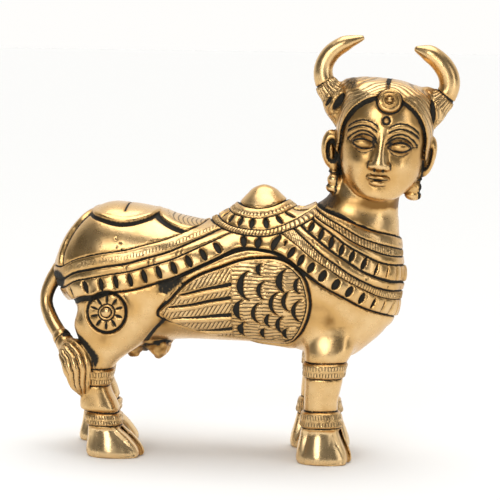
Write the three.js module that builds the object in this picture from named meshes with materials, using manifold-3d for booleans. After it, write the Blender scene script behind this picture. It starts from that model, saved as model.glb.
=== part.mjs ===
// Kamdhenu: a standing cow with a human face, cast in brass as one piece.
// Millimetres, +Z up. The cow faces +X with its head turned to -Y, and its soles rest on z = 0.
// The origin is on the floor under the middle of the whole figure.

import * as THREE from 'three';
import { LoftGeometry } from 'three/addons/geometries/LoftGeometry.js';
import { mergeVertices } from 'three/addons/utils/BufferGeometryUtils.js';
import Module from 'manifold-3d';

const wasm = await Module();
wasm.setup();

// Driving dimensions

const statueHeight = 147;
const barrelWidth = 43;
const bandRelief = 0.6;
const wingRelief = 1.1;
const rosetteRelief = 0.9;
const anchorDepth = 3;
const slotWidth = 1.5;
const slotPitch = 4.9;
const featherGroove = 0.9;
const scaleGroove = 0.9;
const rosetteRadius = 6.3;
const rosetteSpokes = 10;
const hubRelief = 1.6;
const hubRadius = 1.5;
const ankleRingRelief = 0.9;
const tailRingRelief = 0.8;
const tasselLocks = 7;
const tasselFlute = 0.16;
const hornRingRelief = 0.7;
const hoofCleftWidth = 1.2;
const hoofCleftDepth = 3;
const toeStep = 0.9;
const jewelRadius = 3.9;
const jewelHeight = 2.2;
const bindiRadius = 0.9;
const earringRadius = 2.2;
const hairThickness = 1.3;
const partingWidth = 0.9;
const ringBevelShare = 0.2;
const brassColour = 0xc9a14f;

// The figure is drawn on a grid of 147 squares from the soles to the horn tips, and the barrel is
// 43 squares wide, so every outline below is in shares of the height and of the barrel's width.

const along = statueHeight / 147;
const across = barrelWidth / 43;
const throughAll = 80 * across;
const nearMargin = 1.3;

const gridMiddle = -1;
const atX = (x) => (x - gridMiddle) * along;
const place = (x, y, z) => new THREE.Vector3(atX(x), y * across, z * along);
const grown = (radii) => radii.map((r) => r * along);
const mirrored = [-1, 1];

// Facets round each kind of form

const trunkSides = 14;
const neckSides = 10;
const legSides = 10;
const headSides = 14;
const limbSides = 8;
const beadSides = 6;

// Solids from closed geometries

function solid(geometry) {
	const bare = new THREE.BufferGeometry().copy(geometry);
	bare.deleteAttribute('normal');
	bare.deleteAttribute('uv');
	const merged = mergeVertices(bare, 1e-5);
	return new wasm.Manifold(new wasm.Mesh({
		numProp: 3,
		vertProperties: new Float32Array(merged.attributes.position.array),
		triVerts: new Uint32Array(merged.index.array),
	}));
}

const join = (solids) => solids.reduce((whole, part) => whole.add(part));
const cut = (whole, tools) => tools.reduce((rest, tool) => rest.subtract(tool), whole);

function geometryOf(manifold) {
	const mesh = manifold.getMesh();
	const geometry = new THREE.BufferGeometry();
	geometry.setAttribute('position', new THREE.Float32BufferAttribute(mesh.vertProperties, 3));
	geometry.setIndex(Array.from(mesh.triVerts));
	geometry.computeVertexNormals();
	return geometry;
}

// One rounded section: `power` 2 is an ellipse, a higher power is squarer, and `flute` draws every
// other point in.

function ring(centre, right, up, halfRight, halfUp, power, sides, flute = 0) {
	const points = [];
	for (let i = 0; i < sides; i++) {
		const angle = (i / sides) * 2 * Math.PI;
		const c = Math.cos(angle);
		const s = Math.sin(angle);
		const reach = i % 2 ? 1 - flute : 1;
		const a = reach * halfRight * Math.sign(c) * Math.abs(c) ** (2 / power);
		const b = reach * halfUp * Math.sign(s) * Math.abs(s) ** (2 / power);
		points.push(centre.clone().addScaledVector(right, a).addScaledVector(up, b));
	}
	return points;
}

const loft = (sections) => solid(new LoftGeometry(sections, { capStart: true, capEnd: true }));

const X = new THREE.Vector3(1, 0, 0);
const Y = new THREE.Vector3(0, 1, 0);
const Z = new THREE.Vector3(0, 0, 1);

// A body that runs along X: stations of x, top, bottom and half width, grown outwards by `grow`.

function barrel(stations, power, sides, grow) {
	const middle = (stations[0].x + stations.at(-1).x) / 2;
	const reach = Math.abs(stations[0].x - middle);
	return loft(stations.map(({ x, top, bottom, half }) => {
		const centre = place(x, 0, (top + bottom) / 2);
		centre.x += grow * (x - middle) / reach;
		const halfHeight = (top - bottom) / 2 * along + grow;
		return ring(centre, Y, Z, half * across + grow, halfHeight, power, sides);
	}));
}

// A body that runs up Z: stations of z, rear and front x, and the two y of its sides.

function column(stations, power, sides, grow) {
	const rising = [...stations].sort((a, b) => a.z - b.z);
	return loft(rising.map(({ z, rear, front, left, right, swell = 0 }) => {
		const centre = place((rear + front) / 2, (left + right) / 2, z);
		const halfLong = (front - rear) / 2 * along + grow + swell;
		const halfWide = Math.abs(left - right) / 2 * across + grow + swell;
		return ring(centre, X, Y, halfLong, halfWide, power, sides);
	}));
}

// A limb along a curve through `points`, with a radius at each point and raised rings on it.

function limb(points, radii, steps, sides, { rings = [], flute = 0 } = {}) {
	const curve = new THREE.CatmullRomCurve3(points, false, 'centripetal');
	const radiusAt = (t) => {
		const rank = t * (radii.length - 1);
		const low = Math.min(Math.floor(rank), radii.length - 2);
		return THREE.MathUtils.lerp(radii[low], radii[low + 1], rank - low);
	};
	const stops = Array.from({ length: steps + 1 }, (_, i) => ({ t: i / steps, swell: 0 }))
		.filter(({ t }) => rings.every(({ startShare, endShare }) => t < startShare || t > endShare));
	for (const { startShare, endShare, out } of rings) {
		const edge = (endShare - startShare) * ringBevelShare;
		stops.push(
			{ t: startShare, swell: 0 },
			{ t: startShare + edge, swell: out },
			{ t: endShare - edge, swell: out },
			{ t: endShare, swell: 0 },
		);
	}
	stops.sort((a, b) => a.t - b.t);
	return loft(stops.map(({ t, swell }) => {
		const heading = curve.getTangent(t);
		const right = Y.clone().addScaledVector(heading, -Y.dot(heading)).normalize();
		const up = heading.clone().cross(right);
		const radius = radiusAt(t) + swell;
		return ring(curve.getPoint(t), right, up, radius, radius, 2, sides, flute);
	}));
}

// A prism on an outline of [x, z] points, through the figure from side to side or its near half only,
// short of the mid-plane by `nearMargin`.

function prism(outline, from = throughAll / 2) {
	const shape = new THREE.Shape(outline.map(([x, z]) => new THREE.Vector2(atX(x), z * along)));
	const geometry = new THREE.ExtrudeGeometry(shape, { depth: throughAll, bevelEnabled: false });
	geometry.rotateX(Math.PI / 2);
	geometry.translate(0, from, 0);
	return solid(geometry);
}

const nearPrism = (outline) => prism(outline, -nearMargin * across);

// Trunk: barrel, neck and hump

const trunkStations = [
	{ x: -68.6, top: 65.5, bottom: 62.5, half: 3 },
	{ x: -65.3, top: 73.8, bottom: 57, half: 11 },
	{ x: -59.9, top: 81.2, bottom: 51, half: 16 },
	{ x: -53.9, top: 85.8, bottom: 42.5, half: 19 },
	{ x: -45.9, top: 87.4, bottom: 38.6, half: 20.7 },
	{ x: -35.9, top: 86.2, bottom: 38.5, half: 21.2 },
	{ x: -23.9, top: 83, bottom: 40, half: 21.4 },
	{ x: -5.8, top: 80.8, bottom: 40, half: 21.5 },
	{ x: 16.2, top: 86, bottom: 37.9, half: 21.4 },
	{ x: 27.2, top: 87.5, bottom: 34.9, half: 20.8 },
	{ x: 36.2, top: 86.5, bottom: 35.6, half: 19.2 },
	{ x: 43.1, top: 82.8, bottom: 40.6, half: 16 },
	{ x: 48.1, top: 77.8, bottom: 45.6, half: 12.3 },
	{ x: 51.7, top: 72.2, bottom: 51.5, half: 7.8 },
	{ x: 53.1, top: 67.4, bottom: 60, half: 3 },
];

const neckStations = [
	{ z: 64.6, rear: 26.1, front: 52.9, left: 14.5, right: -14.5 },
	{ z: 76.5, rear: 20.4, front: 52.4, left: 14.2, right: -14.2 },
	{ z: 81.5, rear: 20, front: 52, left: 13.2, right: -13.4 },
	{ z: 86.5, rear: 22.2, front: 51.6, left: 11.5, right: -12.4 },
	{ z: 90.5, rear: 26.3, front: 51.8, left: 10, right: -12.2 },
	{ z: 98.6, rear: 31.1, front: 54.6, left: 6, right: -12.2 },
];

const humpStations = [
	{ z: 76, rear: -15.3, front: 22.7, left: 15, right: -15 },
	{ z: 82.5, rear: -12.2, front: 20.1, left: 11.5, right: -11.5 },
	{ z: 87.6, rear: -4.9, front: 15.2, left: 8, right: -8 },
	{ z: 91.7, rear: -1.1, front: 10.9, left: 5, right: -5 },
	{ z: 93.9, rear: 1.4, front: 8.2, left: 2.8, right: -2.8 },
	{ z: 94.9, rear: 3.6, front: 5.8, left: 0.9, right: -0.9 },
];

const trunk = (grow) => join([
	barrel(trunkStations, 2.3, trunkSides, grow),
	column(neckStations, 2.1, neckSides, grow),
	column(humpStations, 2, neckSides, grow),
]);

// Legs: the near ones are drawn, and the far ones mirrored and set back more and more to the hoof.

const foreLegStations = [
	{ z: 46.4, rear: 20.6, front: 37.9, inner: 5, outer: 18.5 },
	{ z: 39, rear: 20.7, front: 37.6, inner: 6, outer: 20.4 },
	{ z: 34.2, rear: 21.1, front: 35, inner: 7.2, outer: 20.4 },
	{ z: 27.8, rear: 21.1, front: 34, inner: 8, outer: 20 },
	{ z: 20, rear: 21, front: 32.6, inner: 8.6, outer: 19.8 },
	{ z: 11, rear: 20, front: 34.6, inner: 7.9, outer: 20.5 },
	{ z: 1.6, rear: 18.5, front: 37.7, inner: 6.4, outer: 22 },
	{ z: 0, rear: 19.5, front: 36.7, inner: 7.2, outer: 21.2 },
];
const foreRings = [{ low: 29.7, high: 35 }, { low: 12.6, high: 18.2 }];

const hindLegStations = [
	{ z: 67.4, rear: -61.4, front: -29.4, inner: 2, outer: 18 },
	{ z: 59.4, rear: -61.9, front: -24.9, inner: 3, outer: 21 },
	{ z: 52.4, rear: -58.7, front: -25.7, inner: 4, outer: 21.7 },
	{ z: 45.4, rear: -59.6, front: -30.1, inner: 5, outer: 21.6 },
	{ z: 39.3, rear: -57.6, front: -36.1, inner: 6, outer: 21 },
	{ z: 33.3, rear: -56.8, front: -44, inner: 7.2, outer: 20.4 },
	{ z: 24.8, rear: -56, front: -46.8, inner: 8.4, outer: 19.8 },
	{ z: 18.6, rear: -57.3, front: -44.2, inner: 8, outer: 20.2 },
	{ z: 15.9, rear: -55.6, front: -43.8, inner: 8.4, outer: 19.8 },
	{ z: 10.6, rear: -54.5, front: -42.4, inner: 8, outer: 20.4 },
	{ z: 6.6, rear: -54.5, front: -38, inner: 7.2, outer: 21.2 },
	{ z: 1.6, rear: -55, front: -34.8, inner: 6.4, outer: 22 },
	{ z: 0, rear: -54, front: -35.6, inner: 7.2, outer: 21.2 },
];
const hindRings = [{ low: 25, high: 30.6 }, { low: 11, high: 15.4 }];
const nearSetBack = { rear: 0, front: 0 };
const farForeSetBack = { rear: 4.6, front: 2.2 };
const farHindSetBack = { rear: 8, front: 6.3 };
const legTop = 70;

function stationAt(stations, z) {
	const low = stations.findIndex((one) => one.z <= z);
	const under = stations[low];
	const over = stations[Math.max(low - 1, 0)];
	const t = over.z === under.z ? 0 : (z - under.z) / (over.z - under.z);
	const between = (key) => THREE.MathUtils.lerp(under[key], over[key], t);
	return { z, rear: between('rear'), front: between('front'), inner: between('inner'), outer: between('outer') };
}

function ringed(stations, rings) {
	const plain = stations.filter(({ z }) => rings.every(({ low, high }) => z < low || z > high));
	const raised = rings.flatMap(({ low, high }) => {
		const edge = (high - low) * ringBevelShare;
		return [
			stationAt(stations, low),
			{ ...stationAt(stations, low + edge), swell: ankleRingRelief },
			{ ...stationAt(stations, high - edge), swell: ankleRingRelief },
			stationAt(stations, high),
		];
	});
	return [...plain, ...raised];
}

const onSide = (side, setBack) => ({ z, inner, outer, rear, front, ...rest }) => {
	const share = 1 - z / legTop;
	const placed = { z, rear: rear - setBack.rear * share, front: front - setBack.front * share };
	return { ...rest, ...placed, left: side * inner, right: side * outer };
};

// Leaning slabs from the front, up to just under the ankle ring: one splits the toes of a hoof, and
// one cuts back its outer toe.

const foreToeLean = 0.25;
const hindToeLean = 0.55;
const slabReach = 12;

function slab(depth, width, sole, y, top, lean) {
	const block = new THREE.BoxGeometry(slabReach, width, top * 2);
	block.translate(slabReach / 2 - depth, 0, -top * 0.2);
	block.rotateY(-lean);
	const toe = place(sole.front, y, 0);
	block.translate(toe.x, toe.y, 0);
	return solid(block);
}

function leg(stations, rings, lean, side, back) {
	const set = onSide(side, back);
	const whole = column(ringed(stations, rings).map(set), 2.4, legSides, 0);
	const sole = set(stations.at(-1));
	const middle = (sole.left + sole.right) / 2;
	const top = rings.at(-1).low * along;
	const outerWidth = Math.abs(sole.right - sole.left);
	return cut(whole, [
		slab(hoofCleftDepth, hoofCleftWidth, sole, middle, top, lean),
		slab(toeStep, outerWidth * across, sole, middle + side * outerWidth / 2, top, lean),
	]);
}

const legs = () => [
	leg(foreLegStations, foreRings, foreToeLean, -1, nearSetBack),
	leg(foreLegStations, foreRings, foreToeLean, 1, farForeSetBack),
	leg(hindLegStations, hindRings, hindToeLean, -1, nearSetBack),
	leg(hindLegStations, hindRings, hindToeLean, 1, farHindSetBack),
];

// Tail: an open loop behind the rump, then a ringed tassel that lies on the near hind leg.

const tailPoints = [
	[-61.9, 0, 67.1], [-66.5, -0.5, 64], [-70.9, -1.5, 57.5], [-72, -2.5, 52], [-69.8, -5, 46.3],
	[-65.4, -9.5, 41], [-61.9, -13.2, 37.4],
];
const tailRadii = [4.4, 3.2, 2.5, 2.2, 2.5, 2.6, 2.7];
const tailRing = { startShare: 0.84, endShare: 0.94, out: tailRingRelief };
const tasselPoints = [
	[-63, -12.6, 37.8], [-59, -15.7, 35], [-57, -17, 31.6], [-56.1, -17.2, 27], [-55.4, -16.4, 20.9],
];
const tasselRadii = [3, 5.2, 5.8, 4.6, 0.8];

function tail() {
	const dock = limb(tailPoints.map((p) => place(...p)), grown(tailRadii), 8, limbSides, { rings: [tailRing] });
	const tassel = limb(tasselPoints.map((p) => place(...p)), grown(tasselRadii), 6, 2 * tasselLocks,
		{ flute: tasselFlute });
	return dock.add(tassel);
}

// Udder: a low bag between the thighs with four teats

const udder = { x: -37.5, z: 40, long: 10.5, wide: 9, deep: 4.8 };
const teats = { front: -31.2, rear: -40.2, apart: 5, top: 38.5, tip: 33, radii: [3.4, 3.1, 1.7] };

function bag() {
	const sac = new THREE.SphereGeometry(1, limbSides, 6);
	sac.scale(udder.long * along, udder.wide * across, udder.deep * along);
	sac.translate(...place(udder.x, 0, udder.z).toArray());
	const all = [solid(sac)];
	for (const side of mirrored) {
		for (const x of [teats.front, teats.rear]) {
			const top = place(x, side * teats.apart, teats.top);
			const tip = place(x, side * teats.apart, teats.tip);
			all.push(limb([top, top.clone().lerp(tip, 0.6), tip], grown(teats.radii), 2, beadSides));
		}
	}
	return join(all);
}

// Head: drawn in its own frame, u to the right of the face, v up and w out of the face.

const headCentre = place(46.3, -3.5, 111.6);
const headTilt = THREE.MathUtils.degToRad(5.2);

const headFrame = new THREE.Matrix4()
	.makeBasis(X, Z, Y.clone().negate())
	.multiply(new THREE.Matrix4().makeRotationZ(-headTilt))
	.setPosition(headCentre);

const onHead = (geometry) => solid(geometry.applyMatrix4(headFrame));
const headSpot = (u, v, w) => new THREE.Vector3(u, v, w).multiplyScalar(along);

const headStations = [
	{ v: -20.4, half: 4.5, front: 13.2, back: -4 },
	{ v: -17.5, half: 8.8, front: 15.7, back: 2 },
	{ v: -14, half: 12.2, front: 16.4, back: 7.5 },
	{ v: -10, half: 13.6, front: 16.6, back: 10.5 },
	{ v: -4, half: 15, front: 16.9, back: 12.5 },
	{ v: 5, half: 15.4, front: 16.9, back: 15 },
	{ v: 13, half: 14.4, front: 15, back: 15 },
	{ v: 17.5, half: 14.4, front: 11.2, back: 11.5, u: -1.4 },
	{ v: 20.4, half: 9, front: 5.5, back: 5.5, u: -2.6 },
];
const noseStations = [
	{ v: -9.8, half: 1.8, front: 18, back: -13 },
	{ v: -9, half: 3, front: 19.8, back: -13 },
	{ v: -7.2, half: 2.5, front: 20, back: -13 },
	{ v: -3, half: 1.5, front: 18.8, back: -13 },
	{ v: 1.5, half: 1.3, front: 17.3, back: -13 },
];

function headLoft(stations, power, sides, grow) {
	return onHead(new LoftGeometry(stations.map(({ v, half, front, back, u = 0 }) => {
		const centre = headSpot(u, v, (front - back) / 2);
		const deep = (front + back) / 2 * along + grow;
		return ring(centre, Z, X, deep, half * along + grow, power, sides);
	}), { capStart: true, capEnd: true }));
}

function blob({ u, v, w, halfU, halfV, halfW, turn = 0, sides = beadSides }) {
	const ball = new THREE.SphereGeometry(1, sides, 4);
	ball.scale(halfU * along, halfV * along, halfW * along);
	ball.rotateZ(turn);
	ball.translate(u * along, v * along, w * along);
	return onHead(ball);
}

function headLimb(spots, radii, steps, sides) {
	const world = spots.map(([u, v, w]) => headSpot(u, v, w).applyMatrix4(headFrame));
	return limb(world, grown(radii), steps, sides);
}

// The same form on the left or the right of the face: u and the turn change sign.

const aside = (side, { u, turn = 0, ...rest }) => ({ ...rest, u: side * u, turn: side * turn });
const spotsAside = (side, spots) => spots.map(([u, v, w]) => [side * u, v, w]);

// Face: calm, with arched brows over closed almond eyes

const eye = { u: 6, v: -1.4, w: 15.4, halfU: 3.3, halfV: 1.5, halfW: 1.7, turn: 0.06 };
const browSpots = [[1.8, 1.6, 17], [6, 4, 16.4], [11.6, 1.4, 13.2]];
const browRadii = [0.5, 0.7, 0.4];
const browSides = 4;
const upperLip = { u: 1.9, v: -12.6, w: 16.5, halfU: 2.4, halfV: 0.8, halfW: 1.1, turn: 0.12 };
const lowerLip = { u: 0, v: -14.3, w: 16.3, halfU: 2.7, halfV: 0.95, halfW: 1.2 };

const face = () => join([
	headLoft(noseStations, 2.2, limbSides, 0),
	...mirrored.map((side) => blob(aside(side, eye))),
	...mirrored.map((side) => headLimb(spotsAside(side, browSpots), browRadii, 4, browSides)),
	...mirrored.map((side) => blob(aside(side, upperLip))),
	blob(lowerLip),
]);

// Hair: swept from a parting to the horns, open over the face, with a low knot behind

const hairline = { half: 14.9, low: -18, spring: 0, top: 15.6, behind: 4, front: 34 };
const parting = { v: 22.3, w: 6, tall: 8, deep: 30 };
const knot = { u: 0, v: -2, w: -12.5, halfU: 7.5, halfV: 6.5, halfW: 5, sides: legSides };
const napeEdge = -15;

function faceOpening() {
	const { half, low, spring, top, behind, front } = hairline;
	const arch = new THREE.Shape();
	arch.moveTo(-half * along, low * along);
	arch.lineTo(half * along, low * along);
	arch.lineTo(half * along, spring * along);
	arch.absellipse(0, spring * along, half * along, (top - spring) * along, 0, Math.PI, false, 0);
	const depth = (front - behind) * along;
	const opening = new THREE.ExtrudeGeometry(arch, { depth, bevelEnabled: false, curveSegments: 6 });
	opening.translate(0, 0, behind * along);
	return onHead(opening);
}

function hair() {
	const mass = headLoft(headStations.filter(({ v }) => v >= napeEdge), 2.2, headSides, hairThickness);
	const groove = new THREE.BoxGeometry(partingWidth, parting.tall * along, parting.deep * along);
	groove.translate(0, parting.v * along, parting.w * along);
	return cut(mass, [faceOpening(), onHead(groove)]).add(blob(knot));
}

// A stepped jewel on the hairline over a round mark between the brows

const jewelSpot = { u: 1, v: 13.8, lean: 0.25 };
const bindiSpot = { u: 0.7, v: 7.1 };

function browFront(v) {
	const over = headStations.findIndex((one) => one.v > v);
	const [low, high] = headStations.slice(over - 1, over + 1);
	return THREE.MathUtils.mapLinear(v, low.v, high.v, low.front, high.front) * along;
}

function jewel() {
	const profile = [
		[0, -anchorDepth], [jewelRadius, -anchorDepth], [jewelRadius, jewelHeight * 0.4],
		[jewelRadius * 0.6, jewelHeight * 0.5], [jewelRadius * 0.45, jewelHeight], [0, jewelHeight],
	];
	const disc = new THREE.LatheGeometry(profile.map(([r, h]) => new THREE.Vector2(r, h)), neckSides);
	disc.rotateX(Math.PI / 2 - jewelSpot.lean);
	disc.translate(jewelSpot.u * along, jewelSpot.v * along, browFront(jewelSpot.v) + hairThickness);
	const mark = new THREE.SphereGeometry(bindiRadius, beadSides, 4);
	mark.translate(bindiSpot.u * along, bindiSpot.v * along, browFront(bindiSpot.v) + bindiRadius / 2);
	return join([onHead(disc), onHead(mark)]);
}

// Ears with a rim round the bowl, and a ball and drop hung from each lobe

const ears = [
	{ side: -1, u: 17.3, v: -5.2, tall: 6.8, wide: 3.4, hang: 15.3 },
	{ side: 1, u: 15.6, v: -4.2, tall: 7.2, wide: 2.5, hang: 12.3 },
];
const earTurn = -0.15;
const bowlShare = 0.6;
const earring = { below: 3.6, w: 3.4 };
const dropRadii = [2, 2.6];

function ear({ side, u, v, tall, wide, hang }) {
	const shell = { u, v, w: 1.6, halfU: wide * 1.1, halfV: tall, halfW: 2.4, turn: earTurn };
	const halves = { halfU: wide * bowlShare, halfV: tall * bowlShare, halfW: 1.6 };
	const bowl = { u: u + 0.6, v, w: 4.2, ...halves, turn: earTurn };
	const lobe = v - tall;
	const ball = new THREE.SphereGeometry(earringRadius, beadSides, 4);
	ball.translate(side * hang * along, (lobe - earring.below) * along, earring.w * along);
	const dropSpots = [[hang + 0.4, lobe + 1.6, 2.6], [hang, lobe - 7.7, 3.2]];
	return blob(aside(side, shell))
		.subtract(blob(aside(side, bowl)))
		.add(onHead(ball))
		.add(headLimb(spotsAside(side, dropSpots), dropRadii, 2, beadSides));
}

// Horns: uneven crescents that rise from rope rings, with a curl of hair below each ring

const hornDepth = -3.5;
const hornRing = { startShare: 0.165, endShare: 0.25, out: hornRingRelief };
const curlRadii = [4.6, 5, 2.6];
const horns = [
	{
		side: -1,
		path: [[33.6, 122.5], [28.2, 127.2], [25.2, 132], [25.1, 136.4], [27.5, 140.8], [32, 144.1], [38, 146.6]],
		radii: [4.4, 3.8, 3.3, 3.2, 3.1, 2.8, 0.8],
		curl: [[13, 15, 0], [17.4, 11, 1], [16, 5.2, 1]],
	},
	{
		side: 1,
		path: [[57.9, 120.3], [63.7, 123.3], [67.9, 128.4], [68.2, 132.8], [65.9, 137.3], [61.6, 141], [57.2, 142.8]],
		radii: [4.6, 4.1, 3.5, 3.6, 3.5, 3.1, 1],
		curl: [[13, 15, 0], [15.3, 11.5, 1], [14.6, 7, 1]],
	},
];

function horn({ side, path, radii, curl }) {
	const spots = path.map(([x, z]) => place(x, hornDepth, z));
	return limb(spots, grown(radii), 9, limbSides, { rings: [hornRing] })
		.add(headLimb(spotsAside(side, curl), curlRadii, 3, limbSides));
}

const head = () => join([
	headLoft(headStations, 2.15, headSides, 0),
	face(),
	hair(),
	jewel(),
	...ears.map(ear),
	...horns.map(horn),
]);

// Carved cloths: every edge is a line of [x, z] on the body's side, the same on both sides

const saddleSpine = [
	[-66.2, 57.7], [-56.8, 61.9], [-47.1, 64], [-37.8, 65.9], [-28.6, 68.5], [-19.5, 72], [-6.5, 78.1],
];
const saddleEdges = { top: 7.5, row: 0, low: -6 };
const slotStart = 0.3;
const slotEnd = 0.9;

const humpMiddle = 2.9;
const humpLines = [
	{ base: 87, bend: 0.026, from: -3.5, to: 12.5 },
	{ base: 83.7, bend: 0.02, from: -8, to: 14 },
	{ base: 79.8, bend: 0.0185, from: -11.5, to: 17.5 },
	{ base: 77.9, bend: 0.0162, from: -14, to: 22 },
];

const collarLines = [
	{ x: 14.3, z: 71.2, front: 49.4, bow: 1.36 },
	{ x: 16.6, z: 76, front: 55, bow: 1.37 },
	{ x: 17.3, z: 80.3, front: 58.8, bow: 1.6 },
	{ x: 19.1, z: 82, front: 62, bow: 1.52 },
	{ x: 22.6, z: 84.4, front: 67.5, bow: 1.47 },
	{ x: 23.5, z: 85.2, front: 70.5, bow: 1.45 },
	{ x: 25.1, z: 86.3, front: 73, bow: 1.34 },
	{ x: 25.4, z: 87.6, front: 76.2, bow: 1.0 },
];
const chestFront = 56;

const underHump = [[-7.4, 71.7], [-2.9, 73.7], [5.9, 73.8], [11.2, 72.6], [15.2, 70.2]];

const overBack = [[-15, 105], [-80, 105], [-80, 62]];
const backCloth = [
	[-66.3, 61.1], [-64.4, 71.1], [-60.5, 78.5], [-55.3, 84.6], [-49, 82.5], [-41.4, 81.8], [-34.5, 82.7],
	[-31.8, 84.6], [-27.9, 81.8], [-22.4, 80.1], [-14.9, 80.4],
];

const spread = (points, count) => new THREE.SplineCurve(points.map(([x, z]) => new THREE.Vector2(x, z)))
	.getPoints(count).map(({ x, y }) => [x, y]);

const saddleLine = (lift) => spread(saddleSpine.map(([x, z]) => [x, z + lift]), 6);

function humpLine(index) {
	const { base, bend, from, to } = humpLines[index];
	return Array.from({ length: 6 }, (_, i) => {
		const x = THREE.MathUtils.lerp(from, to, i / 5);
		return [x, base + bend * (x - humpMiddle) ** 2];
	});
}

function collarLine(index) {
	const { x, z, front, bow } = collarLines[index];
	return Array.from({ length: 6 }, (_, i) => {
		const t = 1 - i / 5;
		return [chestFront + (x - chestFront) * t, front + (z - front) * t ** bow];
	});
}

const band = (upper, lower) => prism([...lower, ...[...upper].reverse()]);

function pointAlong(line, t) {
	const curve = new THREE.CurvePath();
	for (let i = 1; i < line.length; i++) {
		curve.add(new THREE.LineCurve(new THREE.Vector2(...line[i - 1]), new THREE.Vector2(...line[i])));
	}
	return curve.getPoint(t);
}

const gap = ([x, z], [otherX, otherZ]) => Math.hypot(x - otherX, z - otherZ);
const lengthOf = (line) => line.slice(1).reduce((sum, point, i) => sum + gap(point, line[i]), 0);

// A row of almond slots between two lines, one for each pitch

function slots(upper, lower) {
	const count = Math.max(1, Math.round(lengthOf(lower) * along / slotPitch));
	const all = [];
	for (let i = 0; i < count; i++) {
		const t = (i + 0.5) / count;
		const top = pointAlong(upper, t);
		const low = pointAlong(lower, t);
		const side = new THREE.Vector2(top.y - low.y, low.x - top.x).normalize();
		const shoulder = top.clone().lerp(low, slotStart);
		const wide = slotWidth / 2 / along;
		const corners = [
			shoulder.clone().addScaledVector(side, wide),
			shoulder.clone().addScaledVector(side, -wide),
			top.clone().lerp(low, slotEnd),
		];
		all.push(nearPrism(corners.map((p) => [p.x, p.y])));
	}
	return all;
}

const slottedBand = (upper, row, lower) => cut(band(upper, lower), slots(row, lower));

const bands = () => [
	slottedBand(saddleLine(saddleEdges.top), saddleLine(saddleEdges.row), saddleLine(saddleEdges.low)),
	band(humpLine(0), humpLine(1)),
	slottedBand(humpLine(2), humpLine(3), underHump),
	slottedBand(collarLine(2), collarLine(1), collarLine(0)),
	slottedBand(collarLine(6), collarLine(4), collarLine(3)),
	prism([...backCloth, ...overBack]),
];

// Wings: flight feathers to the rear, rows of round scales in front

const wingOutline = [
	[-28.9, 51], [-19.5, 46.6], [-10.5, 43.7], [3.1, 42], [14.6, 41.4], [18.3, 43.9], [20.8, 48.4], [22.5, 53.5],
	[22.5, 58.4], [21.1, 63.3], [18.7, 66.6], [14.8, 69.4], [9, 70.7], [0.7, 69.8], [-7.7, 67.3], [-14.8, 64.6],
	[-20.2, 61.2],
];
const featherRoot = -3.6;
const featherOverrun = 6;
const scaleDepth = 2.4;
const featherLines = [
	{ x: -20.9, z: 58.3, root: 62.4 },
	{ x: -24.7, z: 53.9, root: 57.8 },
	{ x: -23.4, z: 49.9, root: 51.8 },
	{ x: -15.9, z: 45.8, root: 46.7 },
];
const scaleRows = [
	{ x: -3.1, low: 47, high: 66, count: 3 },
	{ x: 2.9, low: 44.5, high: 66.5, count: 4 },
	{ x: 8.9, low: 44, high: 66, count: 4 },
	{ x: 14.9, low: 45, high: 63, count: 3 },
];

function featherCut({ x, z, root }) {
	const wide = featherGroove / 2 / along;
	return prism([[x - featherOverrun, z], [featherRoot, root - wide], [featherRoot, root + wide]]);
}

function scaleCut(x, z, tall) {
	const wide = scaleGroove / along;
	return nearPrism([[x + scaleDepth, z - tall], [x + wide, z], [x + scaleDepth, z + tall], [x, z]]);
}

function wings() {
	const scales = scaleRows.flatMap(({ x, low, high, count }) => {
		const step = (high - low) / count;
		return Array.from({ length: count }, (_, i) => scaleCut(x, low + (i + 0.5) * step, step * 0.45));
	});
	return cut(prism(wingOutline), [...featherLines.map(featherCut), ...scales]);
}

// Rosettes: a spoked wheel with a boss on each haunch

const rosetteCentre = { x: -47.1, z: 51.2 };
const spokeShape = { start: 0.42, end: 0.88, halfAngle: 0.12 };

const fromRosette = (radius, angle) => [
	rosetteCentre.x + radius / along * Math.cos(angle),
	rosetteCentre.z + radius / along * Math.sin(angle),
];

const disc = (radius, sides) => prism(
	Array.from({ length: sides }, (_, i) => fromRosette(radius, (i / sides) * 2 * Math.PI)),
);

function spoke(index) {
	const angle = (index / rosetteSpokes + 0.25) * 2 * Math.PI;
	const at = (share, turn) => fromRosette(share * rosetteRadius, angle + turn);
	const { start, end, halfAngle } = spokeShape;
	return prism([at(start, 0), at(end, -halfAngle), at(end, halfAngle)]);
}

function rosette() {
	const spokes = Array.from({ length: rosetteSpokes }, (_, i) => spoke(i));
	return cut(disc(rosetteRadius, 14), spokes);
}

const haunches = (grow) => mirrored.map((side) => column(
	hindLegStations.slice(0, 5).map(onSide(side, side > 0 ? farHindSetBack : nearSetBack)), 2.4, legSides, grow));

const hide = (grow) => join([trunk(grow), ...haunches(grow)]);

const carving = () => [
	hide(bandRelief).intersect(join(bands())),
	trunk(wingRelief).intersect(wings()),
	hide(rosetteRelief).intersect(rosette()),
	hide(hubRelief).intersect(disc(hubRadius, beadSides)),
];

// The casting is solid: pockets that stay closed in between the forms are filled.

const filled = (whole) => join(whole.decompose().filter((shell) => shell.volume() > 0));

const statue = filled(join([trunk(0), ...legs(), tail(), bag(), head(), ...carving()]));

const mesh = new THREE.Mesh(
	geometryOf(statue),
	new THREE.MeshStandardMaterial({ color: brassColour, metalness: 1, roughness: 0.32 }),
);
mesh.name = 'cow_statue';

const figure = new THREE.Group();
figure.add(mesh);
export default figure;
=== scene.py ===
"""Kamdhenu: a standing cow with a human face, cast in brass as one piece.

The figure is drawn on a grid of squares, 147 from the soles to the horn tips, with x towards the
chest, y towards the far side and z up. Its skin is the zero level of a field of rounded bodies that
melt into each other. The carving is a relief raised on that skin.
"""

import itertools
import math
from collections import namedtuple

import bpy
import numpy as np
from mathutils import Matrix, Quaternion, Vector


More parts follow.
